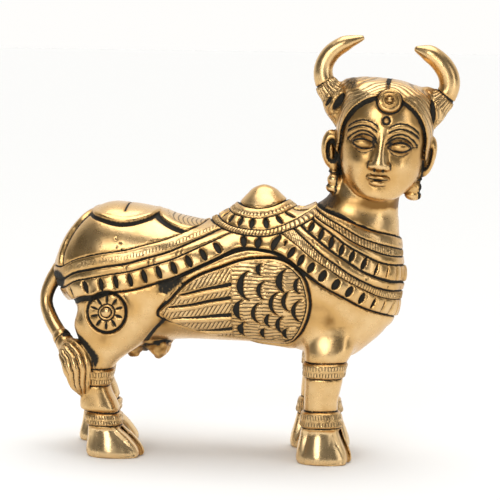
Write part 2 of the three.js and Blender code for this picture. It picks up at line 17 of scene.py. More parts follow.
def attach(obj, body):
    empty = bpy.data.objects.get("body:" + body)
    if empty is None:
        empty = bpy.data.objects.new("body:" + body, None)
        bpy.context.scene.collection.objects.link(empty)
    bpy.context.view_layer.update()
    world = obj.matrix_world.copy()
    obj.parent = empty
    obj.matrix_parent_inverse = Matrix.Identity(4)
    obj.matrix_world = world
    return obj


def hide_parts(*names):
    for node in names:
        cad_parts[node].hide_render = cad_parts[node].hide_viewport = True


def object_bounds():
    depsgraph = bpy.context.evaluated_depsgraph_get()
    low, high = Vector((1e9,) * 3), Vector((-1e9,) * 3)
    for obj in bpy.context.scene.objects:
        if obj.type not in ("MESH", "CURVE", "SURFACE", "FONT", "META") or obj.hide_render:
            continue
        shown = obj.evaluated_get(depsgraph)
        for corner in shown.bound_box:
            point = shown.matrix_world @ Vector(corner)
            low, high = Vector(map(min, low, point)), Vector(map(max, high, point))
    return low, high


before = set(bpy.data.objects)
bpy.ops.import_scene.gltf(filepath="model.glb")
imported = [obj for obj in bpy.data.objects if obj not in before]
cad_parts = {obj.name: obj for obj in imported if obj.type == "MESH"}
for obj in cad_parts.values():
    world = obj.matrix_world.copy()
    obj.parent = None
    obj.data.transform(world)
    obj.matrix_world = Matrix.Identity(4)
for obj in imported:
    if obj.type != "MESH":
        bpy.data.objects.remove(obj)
cad_box = [list(corner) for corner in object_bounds()]

# Sizes

SQUARES_HIGH = 147.34
unit = (cad_box[1][2] - cad_box[0][2]) / SQUARES_HIGH
GRID_MIDDLE = -1.0
GRID_STEP = 1.35
TRIANGLE_LIMIT = 188000
BAND_RELIEF = 0.6
WING_RELIEF = 1.1

# Curves and soft joins


def smooth_curve(knots, values, limited=True, samples=500):
    """A curve through the values. A limited one doesn't overshoot them."""
    knots = np.asarray(knots, float)
    values = np.asarray(values, float)
    gaps = np.diff(knots)
    rises = np.diff(values) / gaps
    slopes = np.empty(len(knots))
    slopes[0] = rises[0]
    slopes[-1] = rises[-1]
    before, after = gaps[:-1], gaps[1:]
    inner = (rises[:-1] * after + rises[1:] * before) / (before + after)
    if limited:
        inner = np.where(rises[:-1] * rises[1:] > 0, inner, 0)
    slopes[1:-1] = inner
    fine = np.linspace(knots[0], knots[-1], samples)
    i = np.clip(np.searchsorted(knots, fine, side="right") - 1, 0, len(gaps) - 1)
    t = (fine - knots[i]) / gaps[i]
    heights = (
        values[i] * (1 + 2 * t) * (1 - t) ** 2
        + slopes[i] * gaps[i] * t * (1 - t) ** 2
        + values[i + 1] * t**2 * (3 - 2 * t)
        + slopes[i + 1] * gaps[i] * t**2 * (t - 1)
    )
    return lambda at: np.interp(at, fine, heights)


def soft_min(a, b, blend):
    """The lesser value, rounded where the two come close."""
    overlap = np.maximum(blend - np.abs(a - b), 0) / blend
    return np.minimum(a, b) - overlap**2 * blend / 4


def soft_max(a, b, blend):
    return -soft_min(-a, -b, blend)


def ramp(value, low, high):
    """0 up to low, 1 from high on, and smooth between."""
    t = np.clip((value - low) / (high - low), 0, 1)
    return t * t * (3 - 2 * t)


def between(value, low, high, edge):
    """1 from low to high and 0 outside, with soft edges."""
    return ramp(value, low - edge, low + edge) * ramp(-value, -high - edge, -high + edge)


def bell(*offsets):
    """1 where every offset is 0, falling away smoothly on all sides."""
    return np.exp(-sum(offset**2 for offset in offsets))


def section(a, b, half_a, half_b, power):
    """The distance of a point from a rounded section."""
    u = np.abs(a) / half_a + 1e-6
    v = np.abs(b) / half_b + 1e-6
    reach = (u**power + v**power) ** (1 / power)
    slope = np.hypot((u / reach) ** (power - 1) / half_a, (v / reach) ** (power - 1) / half_b)
    return (reach - 1) / slope


def wander(points, seed, reach, length):
    """Slow, seeded unevenness, such as a hand leaves in wax."""
    rng = np.random.default_rng(seed)
    total = np.zeros(len(points))
    for _ in range(4):
        heading = rng.normal(size=3)
        heading *= 2 * math.pi / (length * rng.uniform(0.7, 1.4) * np.linalg.norm(heading))
        total += np.sin(points @ heading + rng.uniform(0, 2 * math.pi))
    return total * reach / 2


# Bodies

Form = namedtuple("Form", "name low high blend distance")
BOX_MARGIN = 5
FAR_OFF = 30.0


class Loft:
    """Rounded sections strung along one axis: rows of place, two middles and two half widths."""

    def __init__(self, rows, power, rounding=1.0):
        rows = np.array(sorted(rows))
        self.ends = rows[0, 0], rows[-1, 0]
        self.curves = [smooth_curve(rows[:, 0], rows[:, i]) for i in range(1, 5)]
        self.power = power
        self.rounding = rounding

    def distance(self, a, b, c, swell=0):
        low, high = self.ends
        mid_a, mid_b, half_a, half_b = [curve(np.clip(c, low, high)) for curve in self.curves]
        side = section(a - mid_a, b - mid_b, half_a + swell, half_b + swell, self.power)
        return soft_max(side, np.maximum(low - c, c - high), self.rounding)


class Limb:
    """A tapering round body along a curve."""

    def __init__(self, spots, radii, steps=28, swell=None):
        spots = np.array(spots, float)
        strides = np.linalg.norm(np.diff(spots, axis=0), axis=1) ** 0.5
        knots = np.concatenate([[0], np.cumsum(strides)])
        places = np.linspace(0, 1, steps + 1)
        at = np.interp(places * (len(spots) - 1), np.arange(len(spots)), knots)
        self.path = np.stack([smooth_curve(knots, spots[:, i], False)(at) for i in range(3)], axis=1)
        self.radii = np.interp(places, np.linspace(0, 1, len(radii)), radii)
        if swell:
            self.radii = self.radii + swell(places)

    def closest(self, points):
        """Distance, share of the way along, and the angle round the limb."""
        best = np.full(len(points), 1e3)
        share = np.zeros(len(points))
        out = np.zeros((len(points), 3))
        heading = np.zeros((len(points), 3))
        steps = len(self.path) - 1
        for i in range(steps):
            start, run = self.path[i], self.path[i + 1] - self.path[i]
            t = np.clip((points - start) @ run / (run @ run), 0, 1)
            away = points - start - t[:, None] * run
            gap = np.linalg.norm(away, axis=1) - (self.radii[i] + t * (self.radii[i + 1] - self.radii[i]))
            closer = gap < best
            best[closer] = gap[closer]
            share[closer] = (i + t[closer]) / steps
            out[closer] = away[closer]
            heading[closer] = run / np.linalg.norm(run)
        across = np.cross(heading, [0.0, 1.0, 0.0])
        across /= np.linalg.norm(across, axis=1)[:, None] + 1e-9
        sideways = np.cross(heading, across)
        angle = np.arctan2((out * sideways).sum(1), (out * across).sum(1))
        return best, share, angle

    def distance(self, points):
        return self.closest(points)[0]

    def form(self, name, blend):
        reach = self.radii.max() + BOX_MARGIN
        return Form(name, self.path.min(0) - reach, self.path.max(0) + reach, blend, self.distance)


def ball(name, centre, halves, blend, turn=0.0):
    """An ellipsoid, turned in the plane of its first two axes."""
    centre = np.array(centre, float)
    halves = np.array(halves, float)
    c, s = math.cos(turn), math.sin(turn)

    def distance(points):
        x, y, z = (points - centre).T
        local = np.stack([c * x + s * y, c * y - s * x, z], axis=1) / halves
        reach = np.linalg.norm(local, axis=1) + 1e-6
        slope = np.linalg.norm(local / halves, axis=1) / reach + 1e-9
        return (reach - 1) / slope

    reach = halves.max() + BOX_MARGIN
    return Form(name, centre - reach, centre + reach, blend, distance)


def in_box(points, form):
    return ((points > form.low) & (points < form.high)).all(axis=1)


def merged(forms, points):
    """The distance to the forms melted together, far off beyond their boxes."""
    value = np.full(len(points), FAR_OFF)
    for form in forms:
        near = np.flatnonzero(in_box(points, form))
        if len(near):
            value[near] = soft_min(value[near], form.distance(points[near]), form.blend)
    return value


# Trunk, neck and hump

# Rows of x, top, underside and half width
TRUNK = [
    (-69.0, 64.6, 63.4, 1.2), (-68.0, 67.6, 60.6, 5.2), (-65.3, 73.8, 56.0, 11.0),
    (-59.9, 81.2, 50.0, 16.4), (-53.9, 85.6, 42.5, 19.2), (-45.9, 87.4, 38.6, 20.8),
    (-35.9, 86.2, 38.5, 21.3), (-23.9, 83.0, 40.0, 21.5), (-5.8, 80.8, 40.0, 21.6),
    (16.2, 86.0, 37.9, 21.5), (27.2, 87.5, 34.9, 20.9), (36.2, 86.5, 35.6, 19.2),
    (43.1, 82.8, 40.6, 16.0), (48.1, 77.8, 45.6, 12.0), (51.7, 72.2, 51.5, 7.3), (53.3, 66.0, 60.2, 2.4),
]
# Rows of z, rear, front and both sides
NECK = [
    (64.6, 26.1, 52.9, 14.5, -14.5), (76.5, 20.4, 52.4, 14.2, -14.2), (81.5, 20.0, 52.0, 13.2, -13.4),
    (86.5, 22.2, 51.6, 11.5, -12.4), (90.5, 26.3, 51.8, 10.0, -12.2), (98.6, 31.1, 54.6, 6.0, -12.2),
]
HUMP = [
    (76.0, -15.3, 22.7, 15.0, -15.0), (82.5, -12.2, 20.1, 11.5, -11.5), (87.6, -4.9, 15.2, 8.0, -8.0),
    (91.7, -1.1, 10.9, 5.0, -5.0), (93.9, 1.4, 8.2, 2.8, -2.8), (94.9, 3.6, 5.8, 0.9, -0.9),
]


def upright(rows):
    """Rows of z, rear, front, left and right as middles and half widths."""
    return [(z, (r + f) / 2, (a + b) / 2, (f - r) / 2, abs(a - b) / 2) for z, r, f, a, b in rows]


barrel = Loft([(x, 0, (t + b) / 2, h, (t - b) / 2) for x, t, b, h in TRUNK], 2.3)
neck = Loft(upright(NECK), 2.1)
hump = Loft(upright(HUMP), 2.0, 0.6)


def upright_form(name, loft, low, high, blend):
    def distance(points):
        return loft.distance(*points.T)

    return Form(name, np.array(low, float), np.array(high, float), blend, distance)


def barrel_distance(points):
    return barrel.distance(points[:, 1], points[:, 2], points[:, 0])


trunk_forms = [
    Form("barrel", np.array([-80.0, -30, 28]), np.array([62.0, 30, 95]), 1.0, barrel_distance),
    upright_form("neck", neck, [12, -25, 60], [62, 25, 106], 5.0),
    upright_form("hump", hump, [-22, -22, 70], [30, 22, 101], 4.0),
]

# Legs: the far ones mirror the near ones, set back at the heel and the toe of the hoof

# Rows of z, rear, front, inner side and outer side
FORE_LEG = [
    (46.4, 20.6, 37.9, 5.0, 18.5), (39.0, 20.7, 37.6, 6.0, 20.4), (34.2, 21.1, 35.0, 7.2, 20.4),
    (27.8, 21.1, 34.0, 8.0, 20.0), (20.0, 21.0, 32.6, 8.6, 19.8), (11.0, 20.0, 34.6, 7.9, 20.5),
    (1.6, 18.5, 37.7, 6.4, 22.0), (0.0, 18.9, 37.2, 6.7, 21.7),
]
HIND_LEG = [
    (67.4, -61.4, -29.4, 2.0, 18.0), (59.4, -61.9, -24.9, 3.0, 21.2), (52.4, -58.7, -25.7, 4.0, 22.0),
    (45.4, -59.6, -30.1, 5.0, 21.9), (39.3, -57.6, -36.1, 6.0, 21.2), (33.3, -56.8, -44.0, 7.2, 20.4),
    (24.8, -56.0, -46.8, 8.4, 19.8), (18.6, -57.3, -44.2, 8.0, 20.2), (16.7, -57.0, -43.4, 7.8, 20.4),
    (16.0, -55.6, -43.8, 8.4, 19.8), (10.6, -54.5, -42.4, 8.0, 20.4), (6.6, -54.5, -38.0, 7.2, 21.2),
    (1.6, -55.0, -34.8, 6.4, 22.0), (0.0, -54.5, -35.2, 6.7, 21.7),
]
FORE_RINGS = [(29.7, 35.0), (12.6, 18.2)]
HIND_RINGS = [(25.0, 30.6), (11.0, 15.4)]
RING_RELIEF = 0.9
RING_INSET = 0.35
RING_EDGE = 0.45
LEG_TOP = 70.0
LEG_REACH = 24.0
TOE_STEP = 1.3

Leg = namedtuple("Leg", "name side rings loft middles sole form")


def ring_swell(rings):
    def swell(z):
        raised = sum(between(z, low + RING_INSET, high - RING_INSET, RING_EDGE) for low, high in rings)
        return RING_RELIEF * raised

    return swell


def toe_front(loft, z):
    return loft.curves[0](z) + loft.curves[2](z)


def make_leg(name, rows, rings, side, set_back):
    """A leg with its rings, and a step in the hoof where its inner toe ends behind the outer one."""
    placed = []
    for z, rear, front, inner, outer in rows:
        share = 1 - z / LEG_TOP
        rear -= set_back[0] * share
        front -= set_back[1] * share
        placed.append((z, rear, front, side * inner, side * outer))
    loft = Loft(upright(placed), 2.4, 0.9)
    swell = ring_swell(rings)
    sole = upright(placed)[-1]

    def distance(points):
        x, y, z = points.T
        whole = loft.distance(x, y, z, swell(z))
        short = soft_max(side * (sole[2] - y), toe_front(loft, z) - TOE_STEP - x, 0.7)
        short = soft_max(short, z - rings[-1][0] + 0.6, 0.8)
        return soft_max(whole, -short, 0.8)

    xs = [row[1] for row in placed] + [row[2] for row in placed]
    ys = sorted([0, side * LEG_REACH])
    low = np.array([min(xs) - BOX_MARGIN, ys[0] - BOX_MARGIN, -BOX_MARGIN])
    high = np.array([max(xs) + BOX_MARGIN, ys[1] + BOX_MARGIN, rows[0][0] + BOX_MARGIN])
    return Leg(name, side, rings, loft, loft.curves[:2], sole, Form(name, low, high, 3.0, distance))


FAR_FORE_SET_BACK = (4.6, 2.2)
FAR_HIND_SET_BACK = (8.0, 6.3)
legs = [
    make_leg("near_fore", FORE_LEG, FORE_RINGS, -1, (0, 0)),
    make_leg("far_fore", FORE_LEG, FORE_RINGS, 1, FAR_FORE_SET_BACK),
    make_leg("near_hind", HIND_LEG, HIND_RINGS, -1, (0, 0)),
    make_leg("far_hind", HIND_LEG, HIND_RINGS, 1, FAR_HIND_SET_BACK),
]

# Tail and tassel

TAIL_RING = (0.84, 0.94)
LIMB_RING_RELIEF = 0.6


def limb_ring(ring, edge):
    """The swelling of a ring between two shares of a limb's length."""
    return lambda share: LIMB_RING_RELIEF * between(share, *ring, edge)


tail = Limb(
    [(-61.9, 0, 67.1), (-66.5, -0.5, 64), (-70.9, -1.5, 57.5), (-72.0, -2.5, 52), (-69.8, -5, 46.3),
     (-65.4, -9.5, 41), (-61.9, -13.2, 37.4)],
    [4.4, 3.2, 2.5, 2.2, 2.5, 2.6, 2.7], 48, limb_ring(TAIL_RING, 0.02),
)
tassel = Limb(
    [(-63.0, -12.6, 37.8), (-59.0, -15.7, 35.0), (-57.0, -17.0, 31.6), (-56.1, -17.2, 27.0),
     (-55.4, -16.4, 20.9)],
    [3.0, 5.2, 5.8, 4.6, 0.8], 24,
)

# Udder

TEATS_AT = (-31.2, -40.2)
TEAT_APART = 5.0
TEAT_LEVELS = (39.5, 37.2, 35.3)
TEAT_RADII = (3.3, 3.2, 2.2)
UDDER_CENTRE = (-37.5, 0, 40)
UDDER_HALVES = (10.5, 9, 4.8)


def teat(x, side):
    spots = [(x, side * TEAT_APART, z) for z in TEAT_LEVELS]
    return Limb(spots, TEAT_RADII, 4).form("udder", 1.0)


udder_forms = [ball("udder", UDDER_CENTRE, UDDER_HALVES, 2.5)]
udder_forms += [teat(x, side) for x in TEATS_AT for side in (-1, 1)]

# Head: drawn in its own frame, u to the right of the face, v up and w out of the face.

HEAD_CENTRE = np.array([46.3, -3.5, 111.6])
HEAD_TILT = math.radians(5.2)


def to_head(points):
    x, y, z = (points - HEAD_CENTRE).T
    c, s = math.cos(HEAD_TILT), math.sin(HEAD_TILT)
    return np.stack([c * x - s * z, s * x + c * z, -y], axis=1)


# Rows of v, half width, front, back and middle
SKULL = [
    (-20.6, 3.0, 12.2, -6.0, 0.0), (-19.6, 6.0, 14.4, -2.0, 0.0), (-17.5, 8.9, 15.5, 2.0, 0.0),
    (-14.0, 12.2, 16.2, 7.5, 0.0), (-10.0, 13.7, 16.5, 10.5, 0.0), (-4.0, 14.9, 16.7, 12.5, 0.0),
    (5.0, 15.4, 16.8, 15.0, 0.0), (13.0, 14.5, 15.0, 15.0, 0.0), (17.5, 13.6, 11.6, 11.5, -1.4),
    (20.0, 9.0, 6.4, 6.5, -2.6), (20.9, 4.6, 2.6, 2.6, -2.6),
]
# Rows of v, half width and front
NOSE = [
    (-10.3, 1.8, 17.0), (-9.4, 2.9, 19.0), (-8.2, 3.1, 19.7), (-6.6, 2.7, 19.4), (-3.0, 2.1, 18.3),
    (1.5, 1.8, 17.1), (4.0, 1.7, 16.3),
]
HAIR_THICKNESS = 1.3
HAIRLINE = {"half": 14.7, "spring": 0.0, "top": 15.3, "behind": 3.0}
SIDE_LOCK_END = -6.5
NAPE_END = -14.0
PARTING_AT = 0.0
HAIR_PATCH = (-12.9, 18.4)
EYE = {"u": 6.1, "v": -1.5, "long": 3.9, "tall": 1.7}

skull = Loft([(v, u, (f - b) / 2, h, (f + b) / 2) for v, h, f, b, u in SKULL], 2.15, 0.8)
nose = Loft([(v, 0, f - 3.5, h, 3.5) for v, h, f in NOSE], 2.2, 0.8)


def skull_distance(points):
    u, v, w = points.T
    side = np.abs(u)
    front = ramp(w, 4, 10)
    sockets = 1.3 * bell((side - 5.4) / 3.6, (v + 0.6) / 2.6)
    cheeks = 0.7 * bell((side - 7.2) / 3.4, (v + 8.2) / 3.2)
    beside_mouth = 0.5 * bell((side - 4.6) / 1.2, (v + 12.4) / 2.6)
    return skull.distance(u, w, v) + front * (sockets + beside_mouth - cheeks)


def nose_distance(points):
    u, v, w = points.T
    return nose.distance(u, w, v)


def arch_distance(points):
    """Distance outside the opening of the hair over the face."""
    u, v, _ = points.T
    rise = np.maximum(v - HAIRLINE["spring"], 0)
    return section(u, rise, HAIRLINE["half"], HAIRLINE["top"] - HAIRLINE["spring"], 2.0)


def hair_distance(points):
    u, v, w = points.T
    mass = skull.distance(u, w, v, HAIR_THICKNESS)
    opening = np.maximum(arch_distance(points), HAIRLINE["behind"] - w)
    mass = soft_max(mass, -opening, 0.7)
    end = NAPE_END + (SIDE_LOCK_END - NAPE_END) * ramp(w, -1.0, 4.0)
    mass = soft_max(mass, end - v, 2.0)
    parting = np.maximum(np.abs(u - PARTING_AT + 0.04 * (v - 13)) - 0.45, 15.5 - v)
    return soft_max(mass, -parting, 0.4)


EARS = [
    {"side": -1, "u": 17.3, "v": -5.2, "tall": 6.8, "wide": 3.6, "hang": 15.3},
    {"side": 1, "u": 15.6, "v": -4.2, "tall": 7.2, "wide": 2.7, "hang": 12.3},
]
EAR_TURN = -0.15


def ear_bowl(side, u, v, tall, wide):
    centre = (side * (u - 0.2), v - 0.4, 5.2)
    return ball("ear", centre, (wide * 0.62, tall * 0.66, 3.2), 0.5, side * EAR_TURN)


def ear_forms(side, u, v, tall, wide, hang):
    turn = side * EAR_TURN
    shell = ball("ear", (side * u, v, 2.2), (wide * 1.05, tall, 2.8), 0.5, turn)
    bowl = ear_bowl(side, u, v, tall, wide)
    fold = ball("ear", (side * (u + 0.1), v - 0.8, 2.8), (wide * 0.26, tall * 0.42, 1.6), 0.5, turn)

    def distance(points):
        hollow = soft_max(shell.distance(points), -bowl.distance(points), 0.7)
        return soft_min(hollow, fold.distance(points), 0.4)

    lobe = v - tall
    bead = (side * hang, lobe - 3.5, 3.8)
    stem = Limb([(side * (hang + 0.6), lobe + 1.6, 2.4), (side * hang, lobe - 6.4, 2.6)], [1.7, 1.3], 4)
    cap = ball("earring", (side * (hang + 0.4), lobe - 0.7, 3.2), (2.1, 0.7, 1.9), 0.3)
    drop = ball("earring", (side * (hang - 0.2), lobe - 6.4, 3.4), (2.9, 1.9, 2.3), 0.2)
    return [
        Form("ear", shell.low, shell.high, 0.8, distance),
        stem.form("earring", 0.8),
        cap,
        ball("earring", bead, (2.5, 2.2, 2.3), 0.2),
        drop,
    ]


JEWEL = {"u": 1.0, "v": 13.7, "w": 15.2, "lean": 0.3, "radius": 4.0}
jewel_height = smooth_curve(
    [0, 0.7, 1.15, 1.45, 1.8, 2.2, 2.6, 3.1, 3.6, 4.0],
    [2.5, 2.3, 1.5, 1.3, 1.9, 1.85, 1.0, 1.3, 1.25, 0.7],
)


def jewel_frame(points):
    du, dv, dw = points[:, 0] - JEWEL["u"], points[:, 1] - JEWEL["v"], points[:, 2] - JEWEL["w"]
    c, s = math.cos(JEWEL["lean"]), math.sin(JEWEL["lean"])
    return np.hypot(du, c * dv - s * dw), s * dv + c * dw


def jewel_distance(points):
    radius, height = jewel_frame(points)
    return np.maximum(0.75 * (height - jewel_height(radius)), radius - JEWEL["radius"])


def face_forms():
    forms = [Form("nose", np.array([-8, -16, 8.0]), np.array([8.0, 10, 26]), 1.6, nose_distance)]
    for side in (-1, 1):
        forms.append(ball("nose", (side * 2.5, -8.4, 16.8), (1.6, 1.5, 2.1), 0.5))
        forms.append(ball("eye", (side * EYE["u"], EYE["v"], 13.8), (3.9, 2.1, 2.5), 0.4, side * 0.05))
        forms.append(ball("lip", (side * 1.7, -12.4, 16.1), (2.5, 0.95, 1.4), 0.45, side * -0.12))
    forms.append(ball("lip", (0, -14.2, 16.0), (2.9, 1.1, 1.5), 0.5))
    forms.append(ball("chin", (0, -17.8, 13.2), (3.6, 2.4, 2.6), 2.0))
    return forms


HORN_DEPTH = -3.5
HORN_RING = (0.165, 0.25)


def make_horn(path, radii):
    spots = to_head(np.array([(x, HORN_DEPTH, z) for x, z in path], float))
    return Limb(spots, radii, 44, limb_ring(HORN_RING, 0.012))


horns = [
    make_horn(
        [(33.6, 122.5), (28.2, 127.2), (25.2, 132), (25.1, 136.4), (27.5, 140.8), (32, 144.1), (38, 146.2)],
        [4.4, 3.9, 3.4, 3.2, 3.1, 2.8, 1.0],
    ),
    make_horn(
        [(57.9, 120.3), (63.7, 123.3), (67.9, 128.4), (68.2, 132.8), (65.9, 137.3), (61.6, 141),
         (57.2, 142.6)],
        [4.6, 4.1, 3.5, 3.6, 3.5, 3.1, 1.2],
    ),
]
CURL_SPOTS = {
    -1: [(-13, 15, 0), (-17.4, 11, 1), (-16, 5.2, 1)],
    1: [(13, 15, 0), (15.3, 11.5, 1), (14.6, 7, 1)],
}
curls = [Limb(CURL_SPOTS[side], [4.6, 5.0, 2.6], 8) for side in (-1, 1)]

BIG_LOW = np.array([-40.0, -40, -40])
BIG_HIGH = np.array([40.0, 40, 40])
head_forms = [
    Form("skull", BIG_LOW, BIG_HIGH, 1.0, skull_distance),
    *face_forms(),
    Form("hair", BIG_LOW, BIG_HIGH, 0.35, hair_distance),
    ball("hair", (0, -2, -12.5), (7.5, 6.5, 5), 1.5),
    *[form for ear in EARS for form in ear_forms(**ear)],
    *[curl.form("curl", 1.2) for curl in curls],
    *[horn.form("horn", 1.0) for horn in horns],
    Form("jewel", np.array([-8, 5, 8.0]), np.array([9.0, 22, 24]), 0.3, jewel_distance),
]


def head_distance(points):
    return merged(head_forms, to_head(points))


forms = [
    *trunk_forms,
    *[leg.form for leg in legs],
    *udder_forms,
    tail.form("tail", 2.0),
    tassel.form("tassel", 1.0),
    Form("head", np.array([18.0, -30, 86]), np.array([80.0, 20, 153]), 1.6, head_distance),
]


def field(points):
    return merged(forms, points)


# Skin: one point in each cell that the surface crosses, and one quad round each crossed edge


GRID_LOW = np.array([-78.0, -28.5, -4.0])
GRID_HIGH = np.array([75.0, 28.5, 151.0])


def sample_grid():
    axes = [np.arange(low, high, GRID_STEP) for low, high in zip(GRID_LOW, GRID_HIGH)]
    grid = np.stack(np.meshgrid(*axes, indexing="ij"), axis=-1)
    return field(grid.reshape(-1, 3)).reshape(grid.shape[:3])


def cell_points(values):
    """The mean of the places where the skin crosses each cell's edges, and the cells' numbers."""
    inside = values < 0
    shape = np.array(values.shape) - 1
    offsets = list(itertools.product((0, 1), repeat=3))

    def corner(array, offset):
        return array[tuple(slice(o, o + n) for o, n in zip(offset, shape))]

    count = sum(corner(inside, o).astype(int) for o in offsets)
    crossed = (count > 0) & (count < 8)
    cells = np.argwhere(crossed)
    number = np.full(shape, -1)
    number[crossed] = np.arange(len(cells))
    corners = {o: corner(values, o)[crossed] for o in offsets}
    total = np.zeros((len(cells), 3))
    hits = np.zeros(len(cells))
    for a, b in itertools.combinations(offsets, 2):
        if sum(abs(i - j) for i, j in zip(a, b)) != 1:
            continue
        va, vb = corners[a], corners[b]
        cut = (va < 0) != (vb < 0)
        t = va[cut] / (va[cut] - vb[cut])
        total[cut] += np.array(a) + t[:, None] * (np.array(b) - np.array(a))
        hits[cut] += 1
    return (cells + total / hits[:, None]) * GRID_STEP + GRID_LOW, number, inside


def grid_quads(number, inside):
    """One quad of neighbouring cells round each grid edge that crosses the skin, facing outwards."""
    quads = []
    for axis in range(3):
        one, two = [i for i in range(3) if i != axis]
        ahead = np.roll(inside, -1, axis)
        crossing = inside != ahead
        crossing[tuple(-1 if i == axis else slice(None) for i in range(3))] = False
        for i in (one, two):
            crossing[tuple(0 if j == i else slice(None) for j in range(3))] = False
            crossing[tuple(-1 if j == i else slice(None) for j in range(3))] = False
        at = np.argwhere(crossing)
        leaving = inside[tuple(at.T)]
        ring = []
        for back_one, back_two in ((1, 1), (0, 1), (0, 0), (1, 0)):
            step = np.zeros(3, int)
            step[one] = back_one
            step[two] = back_two
            ring.append(number[tuple((at - step).T)])
        ring = np.stack(ring, axis=1)
        flip = leaving if axis != 1 else ~leaving
        ring[~flip] = ring[~flip][:, ::-1]
        quads.append(ring)
    return np.concatenate(quads)


def split_quads(points, quads):
    """Two triangles for each quad, parted along its shorter diagonal."""
    a, b, c, d = (points[quads[:, i]] for i in range(4))
    short = np.linalg.norm(a - c, axis=1) <= np.linalg.norm(b - d, axis=1)
    halves = [quads[short][:, order] for order in ([0, 1, 2], [0, 2, 3])]
    halves += [quads[~short][:, order] for order in ([0, 1, 3], [1, 2, 3])]
    return np.concatenate(halves)


TETRAHEDRON = np.array([(1, 1, 1), (1, -1, -1), (-1, 1, -1), (-1, -1, 1)], float)


def slope_of(points, step=0.15):
    """The field's gradient, from four samples."""
    total = np.zeros_like(points)
    for corner in TETRAHEDRON:
        total += field(points + step * corner)[:, None] * corner
    return total / (4 * step)


LONGEST_MOVE = 0.6


def settle(points, rounds):
    """Moves the points onto the skin and gives its outward directions."""
    for _ in range(rounds):
        slope = slope_of(points)
        size = (slope**2).sum(1) + 1e-6
        move = (field(points) / size)[:, None] * slope
        length = np.linalg.norm(move, axis=1, keepdims=True)
        points = points - move * np.minimum(1, LONGEST_MOVE / (length + 1e-9))
    slope = slope_of(points)
    return points, slope / (np.linalg.norm(slope, axis=1, keepdims=True) + 1e-9)


def edges_of(triangles):
    """Each edge once, and the places of every triangle's three edges among them."""
    pairs = np.sort(triangles[:, [[0, 1], [1, 2], [2, 0]]].reshape(-1, 2), axis=1)
    key = pairs[:, 0].astype(np.int64) << 32 | pairs[:, 1]
    _, first, places = np.unique(key, return_index=True, return_inverse=True)
    return pairs[first], places.reshape(-1, 3)


def relaxed(points, normals, triangles, share):
    """Slides the points along the skin towards the middle of their neighbours."""
    edges, _ = edges_of(triangles)
    total = np.zeros_like(points)
    count = np.zeros(len(points))
    for a, b in ((0, 1), (1, 0)):
        np.add.at(total, edges[:, a], points[edges[:, b]])
        np.add.at(count, edges[:, a], 1)
    drift = total / np.maximum(count, 1)[:, None] - points
    drift -= (drift * normals).sum(1, keepdims=True) * normals
    return points + share * drift


def refined(points, triangles, edges, places, chosen):
    """Splits the chosen edges, and each triangle into two, three or four."""
    middle = np.full(len(edges), -1)
    middle[chosen] = len(points) + np.arange(chosen.sum())
    points = np.concatenate([points, points[edges[chosen]].mean(axis=1)])
    mids = middle[places]
    split = mids >= 0
    count = split.sum(axis=1)
    out = [triangles[count == 0]]
    full = count == 3
    a, b, c = triangles[full].T
    ab, bc, ca = mids[full].T
    out += [np.stack(t, 1) for t in ((a, ab, ca), (ab, b, bc), (ca, bc, c), (ab, bc, ca))]
    for turn in range(3):
        order = [(turn + i) % 3 for i in range(3)]
        one = (count == 1) & split[:, turn]
        a, b, c = triangles[one][:, order].T
        ab = mids[one][:, turn]
        out += [np.stack(t, 1) for t in ((a, ab, c), (ab, b, c))]
        two = (count == 2) & ~split[:, order[2]]
        a, b, c = triangles[two][:, order].T
        ab, bc = mids[two][:, order[0]], mids[two][:, order[1]]
        out += [np.stack(t, 1) for t in ((ab, b, bc), (a, ab, bc), (a, bc, c))]
    return points, np.concatenate(out)
